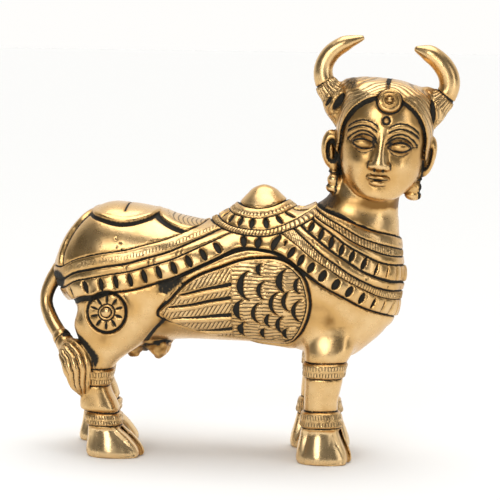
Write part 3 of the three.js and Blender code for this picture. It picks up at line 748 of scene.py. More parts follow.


# Carving: heights over the skin, in squares, and how dark the oxide and the painted shade lie


class Carving:
    """Relief, dark patina and painted shade gathered over points of the skin."""

    GATHERED = ("height", "dark", "stain_and_shade", "stroke", "phase")

    def __init__(self, points, normals):
        self.points = points
        self.normals = normals
        self.x = points[:, 0] + wander(points, 3, 0.22, 17)
        self.y = points[:, 1]
        self.z = points[:, 2] + wander(points, 4, 0.22, 14)
        self.height = np.zeros(len(points))
        self.dark = np.zeros(len(points))
        self.stain_and_shade = np.zeros(len(points))
        # Browner: stains, and painted shade under the chin.
        self.stroke = np.zeros(len(points))
        self.phase = np.zeros(len(points))

    def where(self, chosen, work):
        """Carves the chosen points alone."""
        near = np.flatnonzero(chosen)
        if not len(near):
            return
        part = Carving(self.points[near], self.normals[near])
        for key in self.GATHERED:
            getattr(part, key)[:] = getattr(self, key)[near]
        work(part)
        for key in self.GATHERED:
            getattr(self, key)[near] = getattr(part, key)

    def level(self, curve, lift=0.0):
        """Distance on the skin above the line z = curve(x) + lift."""
        rise = (curve(self.x + 0.2) - curve(self.x - 0.2)) / 0.4
        out = self.normals[:, 2] - rise * self.normals[:, 0]
        size = np.sqrt(np.maximum(rise**2 + 1 - out**2, 0.06))
        return (self.z - curve(self.x) - lift) / size

    def lean(self, curve):
        """Sine and cosine of the angle at which the line z = curve(x) climbs along the skin."""
        rise = (curve(self.x + 0.2) - curve(self.x - 0.2)) / 0.4
        flat = np.hypot(self.normals[:, 0], self.normals[:, 1]) + 1e-6
        angle = np.arctan(rise * np.abs(self.normals[:, 1]) / flat)
        return np.sin(angle), np.cos(angle)

    def groove(self, distance, half, depth, mask=1.0, dark=1.0):
        """A dark cut along the line at distance 0."""
        self.height -= depth * mask * np.exp(-((distance / half) ** 4))
        self.soil_and_shade(dark * mask * np.exp(-((distance / half / 1.1) ** 6)))

    def pit(self, inside, depth, mask=1.0, dark=1.0):
        self.height -= depth * mask * inside
        self.soil_and_shade(dark * mask * inside)

    # Darkens the skin: oxide in the cuts and hollows, and painted shade where a caller puts it.
    def soil_and_shade(self, amount):
        self.dark = np.maximum(self.dark, amount)

    def roll(self, share, rise, mask=1.0):
        """A rounded strip: share runs from 0 to 1 across it."""
        inside = np.clip(4 * share * (1 - share), 0, 1)
        self.height += rise * mask * np.sqrt(inside)

    def hatch(self, phase, mask, depth):
        """Strokes side by side, one for each whole number of the phase."""
        self.height -= depth * mask * (0.5 + 0.5 * np.cos(2 * math.pi * phase)) ** 2
        stronger = mask > self.stroke
        self.phase = np.where(stronger, phase, self.phase)
        self.stroke = np.maximum(self.stroke, mask)


def from_polyline(x, z, line):
    """Distance from a line of straight runs."""
    best = np.full(len(x), 1e9)
    for (ax, az), (bx, bz) in zip(line[:-1], line[1:]):
        run_x, run_z = bx - ax, bz - az
        t = np.clip(((x - ax) * run_x + (z - az) * run_z) / (run_x**2 + run_z**2), 0, 1)
        best = np.minimum(best, np.hypot(x - ax - t * run_x, z - az - t * run_z))
    return best


def inside_polygon(x, z, outline):
    """Distance inside a closed outline, negative outside."""
    closed = [*outline, outline[0]]
    odd = np.zeros(len(x), bool)
    for (ax, az), (bx, bz) in zip(closed[:-1], closed[1:]):
        if bz != az:
            odd ^= ((az > z) != (bz > z)) & (x < ax + (z - az) * (bx - ax) / (bz - az))
    best = from_polyline(x, z, closed)
    return np.where(odd, best, -best)


def rounded_outline(outline, per_side=4):
    """A closed outline with its corners smoothed."""
    corners = np.array(outline, float)
    count = len(corners)
    out = []
    for i in range(count):
        p0, p1, p2, p3 = (corners[(i + k) % count] for k in (-1, 0, 1, 2))
        for t in np.arange(per_side) / per_side:
            out.append(0.5 * (
                2 * p1 + (p2 - p0) * t + (2 * p0 - 5 * p1 + 4 * p2 - p3) * t**2
                + (3 * p1 - p0 - 3 * p2 + p3) * t**3
            ))
    return np.array(out)


# Lines of the cloths on the body's side

# Places of x and z along the upper edge of the row of slots
SADDLE_SPINE = [
    (-68.5, 57.2), (-66.2, 57.7), (-56.8, 61.9), (-47.1, 64.0), (-37.8, 65.9), (-28.6, 68.5), (-19.5, 72.0),
    (-6.5, 78.1), (2.0, 82.4),
]
saddle_row = smooth_curve(*zip(*SADDLE_SPINE))
SADDLE_TOP, SADDLE_STRIP, SADDLE_LOW = 7.5, 3.0, -6.0

HUMP_MIDDLE = 2.9
# Height over the hump's middle and bend, from the cap down
HUMP_LINES = [(87.0, 0.026), (83.7, 0.02), (79.8, 0.0185), (77.9, 0.0162)]
# Start in x and z, height at the chest's front and bow, from below
COLLAR_LINES = [
    (14.3, 71.2, 49.4, 1.36), (16.6, 76.0, 55.0, 1.37), (17.3, 80.3, 58.8, 1.6), (19.1, 82.0, 62.0, 1.52),
    (22.6, 84.4, 67.5, 1.47), (23.5, 85.2, 70.5, 1.45), (25.1, 86.3, 73.0, 1.34), (25.4, 87.6, 76.2, 1.0),
]
CHEST_FRONT = 56.0
UNDER_HUMP = [
    (-9.0, 71.1), (-7.4, 71.7), (-2.9, 73.6), (1.5, 74.1), (5.9, 73.8), (11.2, 72.6), (15.2, 70.4), (17, 69),
]
UNDER_HUMP_START, UNDER_HUMP_END = -7.4, 15.2
under_hump = smooth_curve(*zip(*UNDER_HUMP))


def hump_line(index):
    base, bend = HUMP_LINES[index]
    return lambda x: base + bend * (x - HUMP_MIDDLE) ** 2


def collar_line(index):
    x0, z0, front, bow = COLLAR_LINES[index]

    def curve(x):
        t = np.maximum((CHEST_FRONT - x) / (CHEST_FRONT - x0), 0)
        return front + (z0 - front) * t**bow

    return curve


def hem_low(x):
    ahead = np.where(x < UNDER_HUMP_END, under_hump(x), collar_line(0)(x))
    return np.where(x < UNDER_HUMP_START, saddle_row(x) + SADDLE_LOW, ahead)


def hem_top(x):
    hump_edge = hump_line(3)(x)
    return np.minimum(hump_edge, np.where(x < HUMP_MIDDLE, saddle_row(x), collar_line(1)(x)))


# Slots of the rows: at angles round the chest and the hump, or at places along the side

CHEST_MIDDLE, CHEST_LONG, CHEST_WIDE = 20.0, 33.5, 21.5
LOWER_SLOTS = smooth_curve([0, 35.1, 53.3, 69.7, 84.7, 97.2, 180], [-4, 0, 2, 4, 6, 8, 20])
UPPER_SLOTS = smooth_curve([0, 24.8, 43.3, 58.8, 70.5, 83.4, 91, 180], [-2.5, 0, 2, 4, 6, 8, 9, 21])
SLOT_PITCH = 5.2
SLOT_TILT = 1.25
HUMP_SLOTS = smooth_curve([0, 22, 38.2, 53.1, 71.5, 93.9, 114.8, 134, 180], [-1.5, 0, 1, 2, 3, 4, 5, 6, 8.5])
HUMP_SLOT_PITCH = math.radians(20)
UNDER_HUMP_SLOTS = (-0.1, 4.9, 10.4)
SADDLE_SLOTS = 11
SADDLE_SLOTS_END = -4.5
UNDER_HUMP_SLOTS_FROM, UNDER_HUMP_SLOTS_TO = -3, 13.5
UPPER_PITCH = 4.4
BEAD_DEGREES = 7.2
HUMP_ROPE_DEGREES = 4.2


def saddle_slot(i):
    return -59.4 + SLOT_PITCH * i - 0.02 * i * i


def near_whole(value):
    """Signed distance from the nearest whole number."""
    return value - np.round(value)


def almond(across, along, half_wide, low=0.2, high=0.86, edge=0.16):
    """A pointed slot: across in squares, along as a share of the band."""
    middle, half = (low + high) / 2, (high - low) / 2
    reach = half_wide * np.clip(1 - ((along - middle) / half) ** 2, 0, 1) ** 0.6
    return ramp(reach - np.abs(across), -edge, edge) * (reach > 0)


def share_of(low, top, least=0.5):
    """How far up a band each point lies: 0 at its low line, 1 at its top line."""
    return np.clip(low / np.maximum(low - top, least), 0, 1)


def within(low, top):
    """True where a point is above the low line and under the top line."""
    return (low > 0) * (top < 0)


def cut_slots(carving, across, line, levels, mask, half, reach, forward=1):
    """Slots square to their row, with the skin drawn in beside each one."""
    low, top = levels
    width = np.maximum(low - top, 0.5)
    share = share_of(low, top)
    sine, cosine = carving.lean(line)
    across = (across + forward * SLOT_TILT * sine * (share - 0.5) * width) * cosine
    band = mask * within(low, top)
    carving.pit(almond(across, share, half, *reach), 1.0, band)
    carving.height -= 0.15 * band * bell(across / (half + 0.9))


def rope(carving, low, top, phase, mask, rise, depth=0.4):
    """A twisted cord between two levels."""
    share = share_of(low, top, 0.3)
    band = mask * within(low, top)
    carving.roll(share, rise, band)
    carving.hatch(phase + 0.9 * share, band * between(share, 0.12, 0.88, 0.1), depth)


HUMP_CLOTH_REAR, HUMP_CLOTH_FRONT = -20, 23.5
COLLAR_REAR = 12
SADDLE_FRONT = 2


class Bands:
    """The lines of the cloths as seen from each point of the skin, and where each cloth lies."""

    def __init__(self, carving, hide):
        x, y = carving.x, carving.y
        self.hide = hide
        self.chest_angle = np.degrees(np.arctan2(np.abs(y) / CHEST_WIDE, (x - CHEST_MIDDLE) / CHEST_LONG))
        self.hump_angle = np.degrees(np.arctan2(np.abs(y), x - HUMP_MIDDLE))
        self.hem = carving.level(hem_low), carving.level(hem_top)
        self.saddle = [carving.level(saddle_row, lift) for lift in (0.0, SADDLE_STRIP, SADDLE_TOP)]
        self.hump = [carving.level(hump_line(i)) for i in range(len(HUMP_LINES))]
        self.collar = [carving.level(collar_line(i)) for i in range(len(COLLAR_LINES))]
        self.round_hump = hide * (x < HUMP_CLOTH_FRONT) * (x > HUMP_CLOTH_REAR) * (self.collar[7] < 0)
        self.on_hump = self.round_hump * (self.hump[3] > 0)
        self.on_collar = hide * (self.collar[1] > 0) * (x > COLLAR_REAR) * (1 - self.on_hump)
        self.on_saddle = hide * (x < SADDLE_FRONT) * (self.hump[3] < 0)


def raise_cloths(carving, bands):
    low, top = bands.hem
    saddle, hump, collar = bands.saddle, bands.hump, bands.collar
    raised = np.maximum(ramp(low, -0.1, 0.25) * (top < 0), 0)
    for lower, upper, mask in (
        (saddle[0], saddle[2], bands.on_saddle), (hump[3], hump[0], bands.on_hump),
        (collar[1], collar[7], bands.on_collar),
    ):
        raised = np.maximum(raised, (lower >= 0) * (upper < 0) * (mask > 0))
    carving.height += BAND_RELIEF * raised * bands.hide


def carve_hem(carving, bands):
    """The row of slots that runs from the tail under the hump and round the chest."""
    x, hide = carving.x, bands.hide
    low, top = bands.hem
    under_wing = ramp(x, -30, -20) * ramp(-x, -28, -20)
    at_rear = ramp(-x, 44, 54) * ramp(x, -68, -62)
    carving.groove(low + 0.4 + 0.5 * at_rear, 0.36 + 0.34 * under_wing + 0.6 * at_rear, 0.6, hide)
    carving.roll(share_of(low, top), 0.5, hide * within(low, top))
    rear = hide * (x < SADDLE_SLOTS_END)
    for i in range(SADDLE_SLOTS):
        half = 0.4 if i == 0 else 0.85
        cut_slots(carving, x - saddle_slot(i), saddle_row, bands.hem, rear, half, (0.12, 0.92))
    middle = hide * (x < UNDER_HUMP_SLOTS_TO) * (x > UNDER_HUMP_SLOTS_FROM)
    for place in UNDER_HUMP_SLOTS:
        cut_slots(carving, x - place, under_hump, bands.hem, middle, 1.15, (0.02, 0.96))
    across = near_whole(LOWER_SLOTS(bands.chest_angle)) * SLOT_PITCH
    half = 1.0 - 0.7 * ramp(-bands.chest_angle, -60, -25)
    front = hide * (x > UNDER_HUMP_SLOTS_TO)
    cut_slots(carving, across, collar_line(0), bands.hem, front, half, (0.06, 0.9), -1)


UPPER_STRIP, LOWER_STRIP = 4.3, 2.8
SADDLE_STROKE = 1.08
SADDLE_NICKS = (-42.0, -40.2, -32.6, -30.8, -23.2, -21.8)


def carve_saddle(carving, bands):
    """A strip of upright strokes over a smooth strip."""
    x, mask = carving.x, bands.on_saddle
    low, middle, top = bands.saddle
    strip = mask * within(middle, top)
    carving.roll(middle / UPPER_STRIP, 0.25, strip)
    strokes = strip * between(middle, 1.2, 3.0, 0.2) * (0.35 + 0.65 * ramp(x, -42, -28))
    carving.hatch(x / SADDLE_STROKE, strokes, 0.12)
    strip = mask * within(low, middle)
    carving.roll(low / LOWER_STRIP, 0.3, strip)
    for place in SADDLE_NICKS:
        carving.pit(almond(x - place, low / LOWER_STRIP, 0.2, 0.1, 0.9), 0.25, strip, 0.8)
    above_hem = mask * (bands.hem[0] > -0.5)
    for level, half, depth in ((top, 0.33, 0.5), (middle, 0.45, 0.6), (low, 0.33, 0.45)):
        carving.groove(level, half, depth, above_hem)


def carve_hump(carving, bands):
    """A row of beads, a row of slots and a rope under a smooth cap."""
    cap, beads, row, foot = bands.hump
    mask, angle = bands.on_hump, bands.hump_angle
    strip = mask * within(beads, cap)
    carving.roll(share_of(beads, cap), 0.2, strip)
    carving.hatch(angle / BEAD_DEGREES, strip * between(beads, 0.9, 2.1, 0.2), 0.35)
    strip = mask * within(row, beads)
    share = share_of(row, beads)
    carving.roll(share, 0.25, strip)
    across = near_whole(HUMP_SLOTS(angle)) * HUMP_SLOT_PITCH * np.hypot(carving.x - HUMP_MIDDLE, carving.y)
    carving.pit(almond(across, share, 0.9, 0.1, 1.0), 0.9, strip)
    rope(carving, foot, row, angle / HUMP_ROPE_DEGREES, mask, 0.35)
    for level, half, depth in ((cap - 0.1, 0.42, 0.6), (beads, 0.25, 0.35), (row - 0.1, 0.3, 0.4)):
        carving.groove(level, half, depth, mask)
    carving.groove(foot, 0.38, 0.5, bands.round_hump)


ROPE_TURNS = 5.0
COLLAR_ROPES = (1, 5)
COLLAR_STRIPS = (2, 4, 6)
COLLAR_GROOVES = (0.38, 0.38, 0.5, 0.38, 0.32, 0.32, 0.48)


def carve_collar(carving, bands):
    """From below: rope, smooth strip, slots, smooth strip, rope and edge."""
    collar, mask, angle = bands.collar, bands.on_collar, bands.chest_angle
    turns = LOWER_SLOTS(angle) * ROPE_TURNS
    for i in COLLAR_ROPES:
        rope(carving, collar[i], collar[i + 1], turns, mask, 0.3)
    for i in COLLAR_STRIPS:
        low, top = collar[i], collar[i + 1]
        carving.roll(share_of(low, top, 0.4), 0.3, mask * within(low, top))
    nicks = np.abs(near_whole(LOWER_SLOTS(angle) / 2 + 0.13)) < 0.04
    strip = mask * within(collar[2], collar[3])
    carving.pit(nicks * between(collar[2], 0.6, 1.7, 0.1), 0.2, strip, 0.7)
    row = collar[3], collar[4]
    carving.roll(share_of(*row), 0.25, mask * within(*row))
    across = near_whole(UPPER_SLOTS(angle)) * UPPER_PITCH
    half = 0.75 - 0.5 * ramp(-angle, -60, -30)
    cut_slots(carving, across, collar_line(3), row, mask, half, (0.08, 0.95), -1)
    edge = mask * within(collar[6], collar[7]) * between(collar[6], 0.7, 1.8, 0.3)
    carving.hatch(turns * 1.15, edge * 0.45, 0.12)
    above = 0.3 + 0.9 * ramp(-carving.x, -42, -33) + wander(carving.points, 10, 0.4, 4)
    neck_side = bands.hide * (carving.x > COLLAR_REAR) * (collar[7] > 0)
    carving.soil_and_shade(0.9 * neck_side * ramp(above - collar[7], -0.3, 0.3))
    for level, half in zip(collar[1:], COLLAR_GROOVES):
        carving.groove(level, half, 0.3 + 0.6 * half, mask)


def carve_cloths(carving, hide):
    bands = Bands(carving, hide)
    raise_cloths(carving, bands)
    carve_hem(carving, bands)
    carve_saddle(carving, bands)
    carve_hump(carving, bands)
    carve_collar(carving, bands)


# Places of z and x
CLOTH_REAR = [(58.0, -69.0), (61.1, -66.3), (71.1, -64.4), (78.5, -60.5), (84.8, -55.3)]
# Start and end in x, then in z, and sag
SCALLOPS = [(-55.3, -31.8, 84.8, 84.8, 3.2), (-31.8, -14.0, 84.8, 80.0, 2.5)]
CLOTH_TOP = 105.0
CLOTH_BEHIND = -85
CLOTH_FRONT = -12


def back_cloth():
    """The cloth over the spine: a curved rear edge, then scallops that meet in cusps."""
    heights = np.linspace(CLOTH_REAR[0][0], CLOTH_REAR[-1][0], 14)
    rear = smooth_curve(*zip(*CLOTH_REAR))(heights)
    outline = list(zip(rear, heights))
    for start, end, start_z, end_z, sag in SCALLOPS:
        for t in np.linspace(0, 1, 13)[1:]:
            hang = sag * (4 * t * (1 - t)) ** 0.8
            outline.append((start + (end - start) * t, start_z + (end_z - start_z) * t - hang))
    return outline + [(CLOTH_FRONT, CLOTH_TOP), (CLOTH_BEHIND, CLOTH_TOP), (CLOTH_BEHIND, heights[0])]


cloth_outline = back_cloth()
CLOTH_TICK = [(-42.2, 87.6), (-42.9, 85.2)]


def carve_back_cloth(carving, hide):
    """A raised cloth with a rolled and grooved edge, hatched in front."""
    inside = inside_polygon(carving.x, carving.z, cloth_outline)
    above = hide * within(carving.level(saddle_row, SADDLE_TOP), carving.level(hump_line(3)))
    above = above * (carving.x < -8)
    carving.height += 0.55 * ramp(inside, -0.1, 0.3) * above
    carving.roll((inside - 0.1) / 1.5, 0.3, above * (inside > 0.1) * (inside < 1.6))
    rear = ramp(-carving.x, 54, 57)
    carving.groove(inside + 0.45, 0.6 - 0.2 * rear, 0.6, above, 1.0 - 0.25 * rear)
    hatched = above * (inside > 1.2) * (carving.x > -31)
    carving.hatch((carving.x + 1.4 * carving.z) / 1.3, hatched * 0.5, 0.12)
    tick = from_polyline(carving.x, carving.z, CLOTH_TICK)
    carving.groove(tick, 0.35, 0.4, above)


# The wing's outline in x and z
WING = [
    (-28.9, 51), (-19.5, 46.6), (-10.5, 43.7), (3.1, 42), (14.6, 41.4), (18.3, 43.9), (20.8, 48.4),
    (22.5, 53.5), (22.5, 58.4), (21.1, 63.3), (18.7, 66.6), (14.8, 69.4), (9, 70.7), (0.7, 69.8),
    (-7.7, 67.3), (-14.8, 64.6), (-20.2, 61.2), (-24.5, 56),
]
wing_outline = rounded_outline(WING)
FEATHER_ROOT = -3.9
# Grooves between the feathers: x and z at the tip, z at the root
FEATHERS = [(-20.9, 58.3, 62.4), (-24.7, 53.9, 57.8), (-23.4, 49.9, 51.8), (-15.9, 45.8, 46.7)]
# Scales: x of the left end, lowest and highest z
SCALES = [
    (-1.7, 56.7, 66.6), (4.8, 56.9, 63.7), (11.4, 59.5, 67.7), (17.3, 59.3, 64.8), (-3.1, 50.1, 57.0),
    (3.0, 48.9, 56.1), (9.1, 51.9, 60.1), (13.4, 53.3, 60.5), (16.8, 49.7, 57.5), (7.5, 47.3, 52.5),
    (11.4, 45.0, 51.9), (-1.9, 43.6, 49.4), (5.9, 43.2, 47.4), (13.6, 43.0, 47.8), (4.4, 65.1, 69.2),
]
FULL_SCALES = (0, 2, 4, 11)
SCALE_FULL, SCALE_THIN = 0.9, 0.5


def carve_wing(carving):
    x, z = carving.x, carving.z
    mask = hide_share(carving.points)
    inside = inside_polygon(x, z, wing_outline)
    below_hem = carving.level(hem_low) < -0.6
    on_wing = mask * (inside > 0)
    carving.height += WING_RELIEF * ramp(inside, -0.15, 0.35) * mask
    carving.groove(inside + 0.4, 0.45, 0.5, mask * below_hem)

    # A plain roll round the top and the front
    rim = mask * below_hem * between(-inside, 0.9, 3.0, 0.2)
    carving.height += 0.9 * rim * ramp(z + 0.9 * x, 40, 46) * ramp(-x, -20, -15)
    carving.groove(inside - 1.0, 0.25, 0.3, on_wing * ramp(x, 12, 15), 0.9)
    carve_feathers(carving, on_wing, inside)
    carve_scales(carving, on_wing, inside)


def carve_feathers(carving, on_wing, inside):
    """Flight feathers behind, parted by tapering grooves and struck across."""
    x, z = carving.x, carving.z
    behind = on_wing * (x < FEATHER_ROOT + 1.5)
    smooth = np.zeros(len(x))
    for tip, tip_z, root_z in FEATHERS:
        share = (x - tip) / (FEATHER_ROOT - tip)
        line = tip_z + (root_z - tip_z) * share
        offset = (z - line) / math.hypot(1, (root_z - tip_z) / (FEATHER_ROOT - tip))
        half = 0.28 + 0.36 * np.clip(share, 0, 1)
        length = behind * ramp(share, -0.12, 0.02) * ramp(-x, -FEATHER_ROOT - 0.2, -FEATHER_ROOT + 0.4)
        carving.groove(offset, half, 0.75, length)
        carving.height += 0.3 * length * bell((offset + 1.15) / 0.45)
        smooth = np.maximum(smooth, length * between(offset, -1.8, 0.75, 0.15))
    ends = ramp(-x, -FEATHER_ROOT - 0.5, -FEATHER_ROOT + 0.5) * ramp(inside, 0.6, 1.0)
    carving.hatch((x - 0.65 * z) / 1.35, behind * ends * (1 - smooth), 0.42)


def carve_scales(carving, on_wing, inside):
    """Covert scales in front: each ends in a dark crescent to the rear."""
    x, z = carving.x, carving.z
    front = on_wing * ramp(x, FEATHER_ROOT - 0.4, FEATHER_ROOT + 0.4)
    tilt = np.zeros(len(x))
    for index, (left, low, high) in enumerate(SCALES):
        middle, half = (low + high) / 2, (high - low) / 2
        share = (z - middle) / half
        reach = np.clip(1 - share**2, 0, 1)
        away = x - left - half * (1 - np.sqrt(reach))
        level = np.abs(share) < 1
        fullness = SCALE_FULL if index in FULL_SCALES else SCALE_THIN
        thick = 0.26 + fullness * reach**1.3
        crescent = ramp(thick - np.abs(away - thick * 0.6), -0.2, 0.2) * level
        carving.pit(crescent, 0.75, front)
        carving.height += 0.3 * front * level * ramp(away, 0.9, 1.6) * ramp(-away, -5, -2)
        own = (away > 0) * (away < 7) * level
        tilt = np.where(own, 0.10 * math.sin(2.4 * index) + 0.12 * share, tilt)
    fan = (z + tilt * (x % 7)) / 1.3
    edge = ramp(inside, 0.7, 1.1) * ramp(-(inside - 1.0) * (x > 14), -9, 0.0)
    carving.hatch(fan, front * (1 - carving.dark) * edge, 0.36)


ROSETTE = (-47.0, 51.3)
ROSETTE_SPOKES = 10


def carve_rosette(carving):
    """A boss in a ring of dark petals, inside a raised rim."""
    x, z = carving.x - ROSETTE[0], carving.z - ROSETTE[1]
    mask = hide_share(carving.points)
    radius = np.hypot(x, z)
    angle = np.arctan2(z, x)
    turn = near_whole(angle / (2 * math.pi) * ROSETTE_SPOKES + 0.5)
    across = turn * 2 * math.pi / ROSETTE_SPOKES * radius
    carving.height += 0.5 * mask * ramp(-radius, -6.6, -6.1)
    carving.groove(radius - 6.9, 0.5, 0.7, mask)
    carving.height += 0.45 * mask * bell((radius - 7.9) / 0.55)
    carving.pit(almond(across, (radius - 3.1) / 2.9, 0.5, 0.0, 1.0), 0.5, mask)
    carving.height += 0.5 * mask * ramp(-radius, -2.75, -2.4)
    carving.groove(radius - 2.9, 0.26, 0.4, mask)
    carving.height += 0.9 * mask * np.sqrt(np.clip(1 - (radius / 1.75) ** 2, 0, 1))
    carving.groove(radius - 1.85, 0.24, 0.4, mask)


HAUNCH_CREASE = [(-20.1, 62.7), (-24.4, 58.8), (-28.5, 53.1), (-26.9, 49.4), (-30.5, 45.5), (-34.4, 40.4)]
WEDGE = [(-29.2, 62.2), (-24, 63.4), (-20.3, 63.9), (-23.0, 60.6), (-26.0, 57.8), (-29.0, 58.6)]
PITS = [(-44.0, 73.6), (-42.8, 75.0), (-42.2, 73.0), (-41.0, 72.6), (-44.9, 76.4), (-21.0, 62.0)]

# Browner patches left in the polish: x, z, reach and strength
SMUDGES = [
    (26.0, 52.5, 4.5, 0.6), (30.0, 50.0, 3.5, 0.4), (26.5, 37.0, 3.0, 0.5), (-27.0, 47.0, 4.0, 0.5),
    (-49.0, 42.5, 3.5, 0.6), (-38.5, 53.5, 3.5, 0.5), (-33.0, 63.0, 4.0, 0.5),
]


def carve_flank(carving, hide):
    mask = hide * (np.abs(carving.y) > 6)
    crease = from_polyline(carving.x, carving.z, HAUNCH_CREASE)
    below_tip = ramp(-carving.z, -51.0, -49.0)
    below_hem = mask * (carving.level(hem_low) < -0.2)
    carving.groove(crease, 0.3 + 0.3 * below_tip, 0.45, below_hem, 0.35 + 0.65 * below_tip)
    wedge = ramp(inside_polygon(carving.x, carving.z, WEDGE), -0.9, 0.5)
    carving.pit(wedge, 0.5, mask, 0.8)
    near = mask * (carving.y < 0)
    mottled = 1 + wander(carving.points, 9, 0.3, 6)
    for x, z, reach, amount in SMUDGES:
        away = np.hypot(carving.x - x, carving.z - z)
        carving.stain_and_shade += near * amount * mottled * bell(away / reach)
    for x, z in PITS:
        carving.groove(np.hypot(carving.x - x, carving.z - z), 0.38, 0.35, near, 0.9)


ANKLET_STROKES = 44
LEG_CARVED = 38


def carve_leg(carving, leg):
    """Two rows of strokes round each ring, and dark lines above and below it."""
    mask = ramp(-leg.form.distance(carving.points), -0.9, -0.3)
    z = carving.points[:, 2] + wander(carving.points, 5, 0.12, 12)
    x_mid, y_mid = (curve(z) for curve in leg.middles)
    angle = np.arctan2(carving.y - y_mid, carving.points[:, 0] - x_mid)
    phase = angle / (2 * math.pi) * ANKLET_STROKES
    for low, high in leg.rings:
        share = (z - low) / (high - low)
        carving.hatch(phase + 0.6 * share, mask * between(share, 0.56, 0.86, 0.05) * 0.7, 0.35)
        carving.hatch(phase, mask * between(share, 0.16, 0.4, 0.05) * 0.9, 0.4)
        carving.groove((share - 0.47) * (high - low), 0.2, 0.18, mask, 0.4)
        carving.groove(z - high - 0.2, 0.26, 0.4, mask, 0.85)
        carving.groove(z - low + 0.15, 0.24, 0.35, mask, 0.8)
    carve_hoof(carving, leg, mask)


HOOF_FACET = 0.4
HOOF_RAKE = 0.17
HOOF_FLARE = 0.12


def carve_hoof(carving, leg, mask):
    """Flat facets on both toes, meeting along an upright edge, and a dark groove in the step between the
    toes.
    """
    x, y, z = carving.points.T
    _, middle, parting, half, _ = leg.sole
    mask = mask * ramp(leg.rings[-1][0] - z, 0.3, 1.2)
    edge = middle + (2 * HOOF_FACET - 1) * half
    sideways = ramp(np.abs(carving.normals[:, 1]), 0.5, 0.8)
    carving.height -= HOOF_RAKE * mask * sideways * np.clip(np.abs(x - edge) - 0.9, 0, 4)
    carving.height -= HOOF_FLARE * mask * sideways * np.clip(z - 2, 0, 8)
    corner = np.hypot(x - toe_front(leg.loft, z) + TOE_STEP, y - parting)
    top = ramp(z, 2.0, 9.0)
    carving.groove(corner, 0.55, 0.15, mask, 0.25 + 0.45 * top)
    carving.stain_and_shade += mask * (0.3 * bell(corner / 1.6) - 0.35)


def carve_udder(carving):
    """Brown all over, lumpy, and nearly black where it leaves the belly and between the teats."""
    on_udder = ramp(-merged(udder_forms, carving.points), -1.0, -0.3)
    z = carving.points[:, 2]
    lumps = wander(carving.points, 8, 1.0, 3.0)
    carving.stain_and_shade += on_udder * (0.5 + 0.25 * lumps)
    carving.height -= 0.25 * on_udder * lumps
    carving.soil_and_shade(0.85 * on_udder * ramp(z + lumps, 37.8, 39.2))
    between_teats = bell((carving.x - sum(TEATS_AT) / 2) / 1.4)
    carving.soil_and_shade(0.7 * on_udder * between_teats * ramp(z, 33, 35.5))


TAIL_LENGTH = 38
TAIL_ROOT = (-65.5, 61.0)
TASSEL_LOCKS = 14


def carve_tail(carving):
    """Rings above the tassel, its locks, and painted shade on the tail and between it, the tail and the
    haunch.
    """
    gap, share, _ = tail.closest(carving.points)
    near = ramp(-gap, -0.9, -0.4)
    start, end = TAIL_RING
    for place in (start - 0.01, (start + end) / 2, end + 0.01):
        carving.groove((share - place) * TAIL_LENGTH, 0.3, 0.35, near * (share > 0.75))
    # Painted shade on the side of the tail that faces the haunch.
    carving.soil_and_shade(0.75 * near * ramp(carving.normals[:, 0], 0.25, 0.8) * (share < 0.8))
    gap, share, angle = tassel.closest(carving.points)
    on_tassel = ramp(-gap, -0.9, -0.3)
    lock = angle * TASSEL_LOCKS / (2 * math.pi) + 0.35 * np.sin(5 * share)
    ridge = np.abs(near_whole(lock)) * 2
    ends = ramp(share, 0.06, 0.2) * ramp(-share, -0.98, -0.85)
    carving.height += on_tassel * ends * (0.55 - 1.0 * ridge**2.2)
    carving.soil_and_shade(on_tassel * ends * ramp(ridge, 0.72, 0.95) * 0.95)
    # Painted shade in the gap between the tassel and the haunch, and round the root of the tail.
    x, z = carving.points[:, 0], carving.points[:, 2]
    breadth = 1.6 + 2.6 * ramp(z, 30, 36)
    valley = (1 - on_tassel) * ramp(breadth - gap, 0, 2.0) * (x > -64) * ramp(z, 22, 27)
    root = ramp(-np.hypot(x - TAIL_ROOT[0], z - TAIL_ROOT[1]), -4.5, -2.0)
    carving.soil_and_shade(0.95 * np.maximum(valley, root))


def carve_ears(carving, head, own):
    """Soil in the bowls of the ears, at the seams of the earrings and between them and the cheeks."""
    u, v, w = head.T
    mask = own * ramp(w, -6, -3)
    for ear in EARS:
        bowl = ear_bowl(ear["side"], ear["u"], ear["v"], ear["tall"], ear["wide"])
        inside = ramp(-np.abs(bowl.distance(head)), -0.7, -0.2) * (np.abs(u - ear["side"] * ear["u"]) < 4)
        carving.soil_and_shade(0.9 * mask * inside * (w < 4.2))
        lobe = ear["v"] - ear["tall"]
        beside = mask * (ear["side"] * u > 10)
        for seam in (lobe - 0.9, lobe - 5.6):
            carving.soil_and_shade(0.85 * beside * ramp(-np.abs(v - seam), -0.7, -0.3) * (w < 5))
        inner = beside * (np.abs(u) < ear["hang"] + 0.8) * (v < lobe + 8)
        carving.soil_and_shade(0.9 * inner * ramp(-w, -4.6, -3.2))


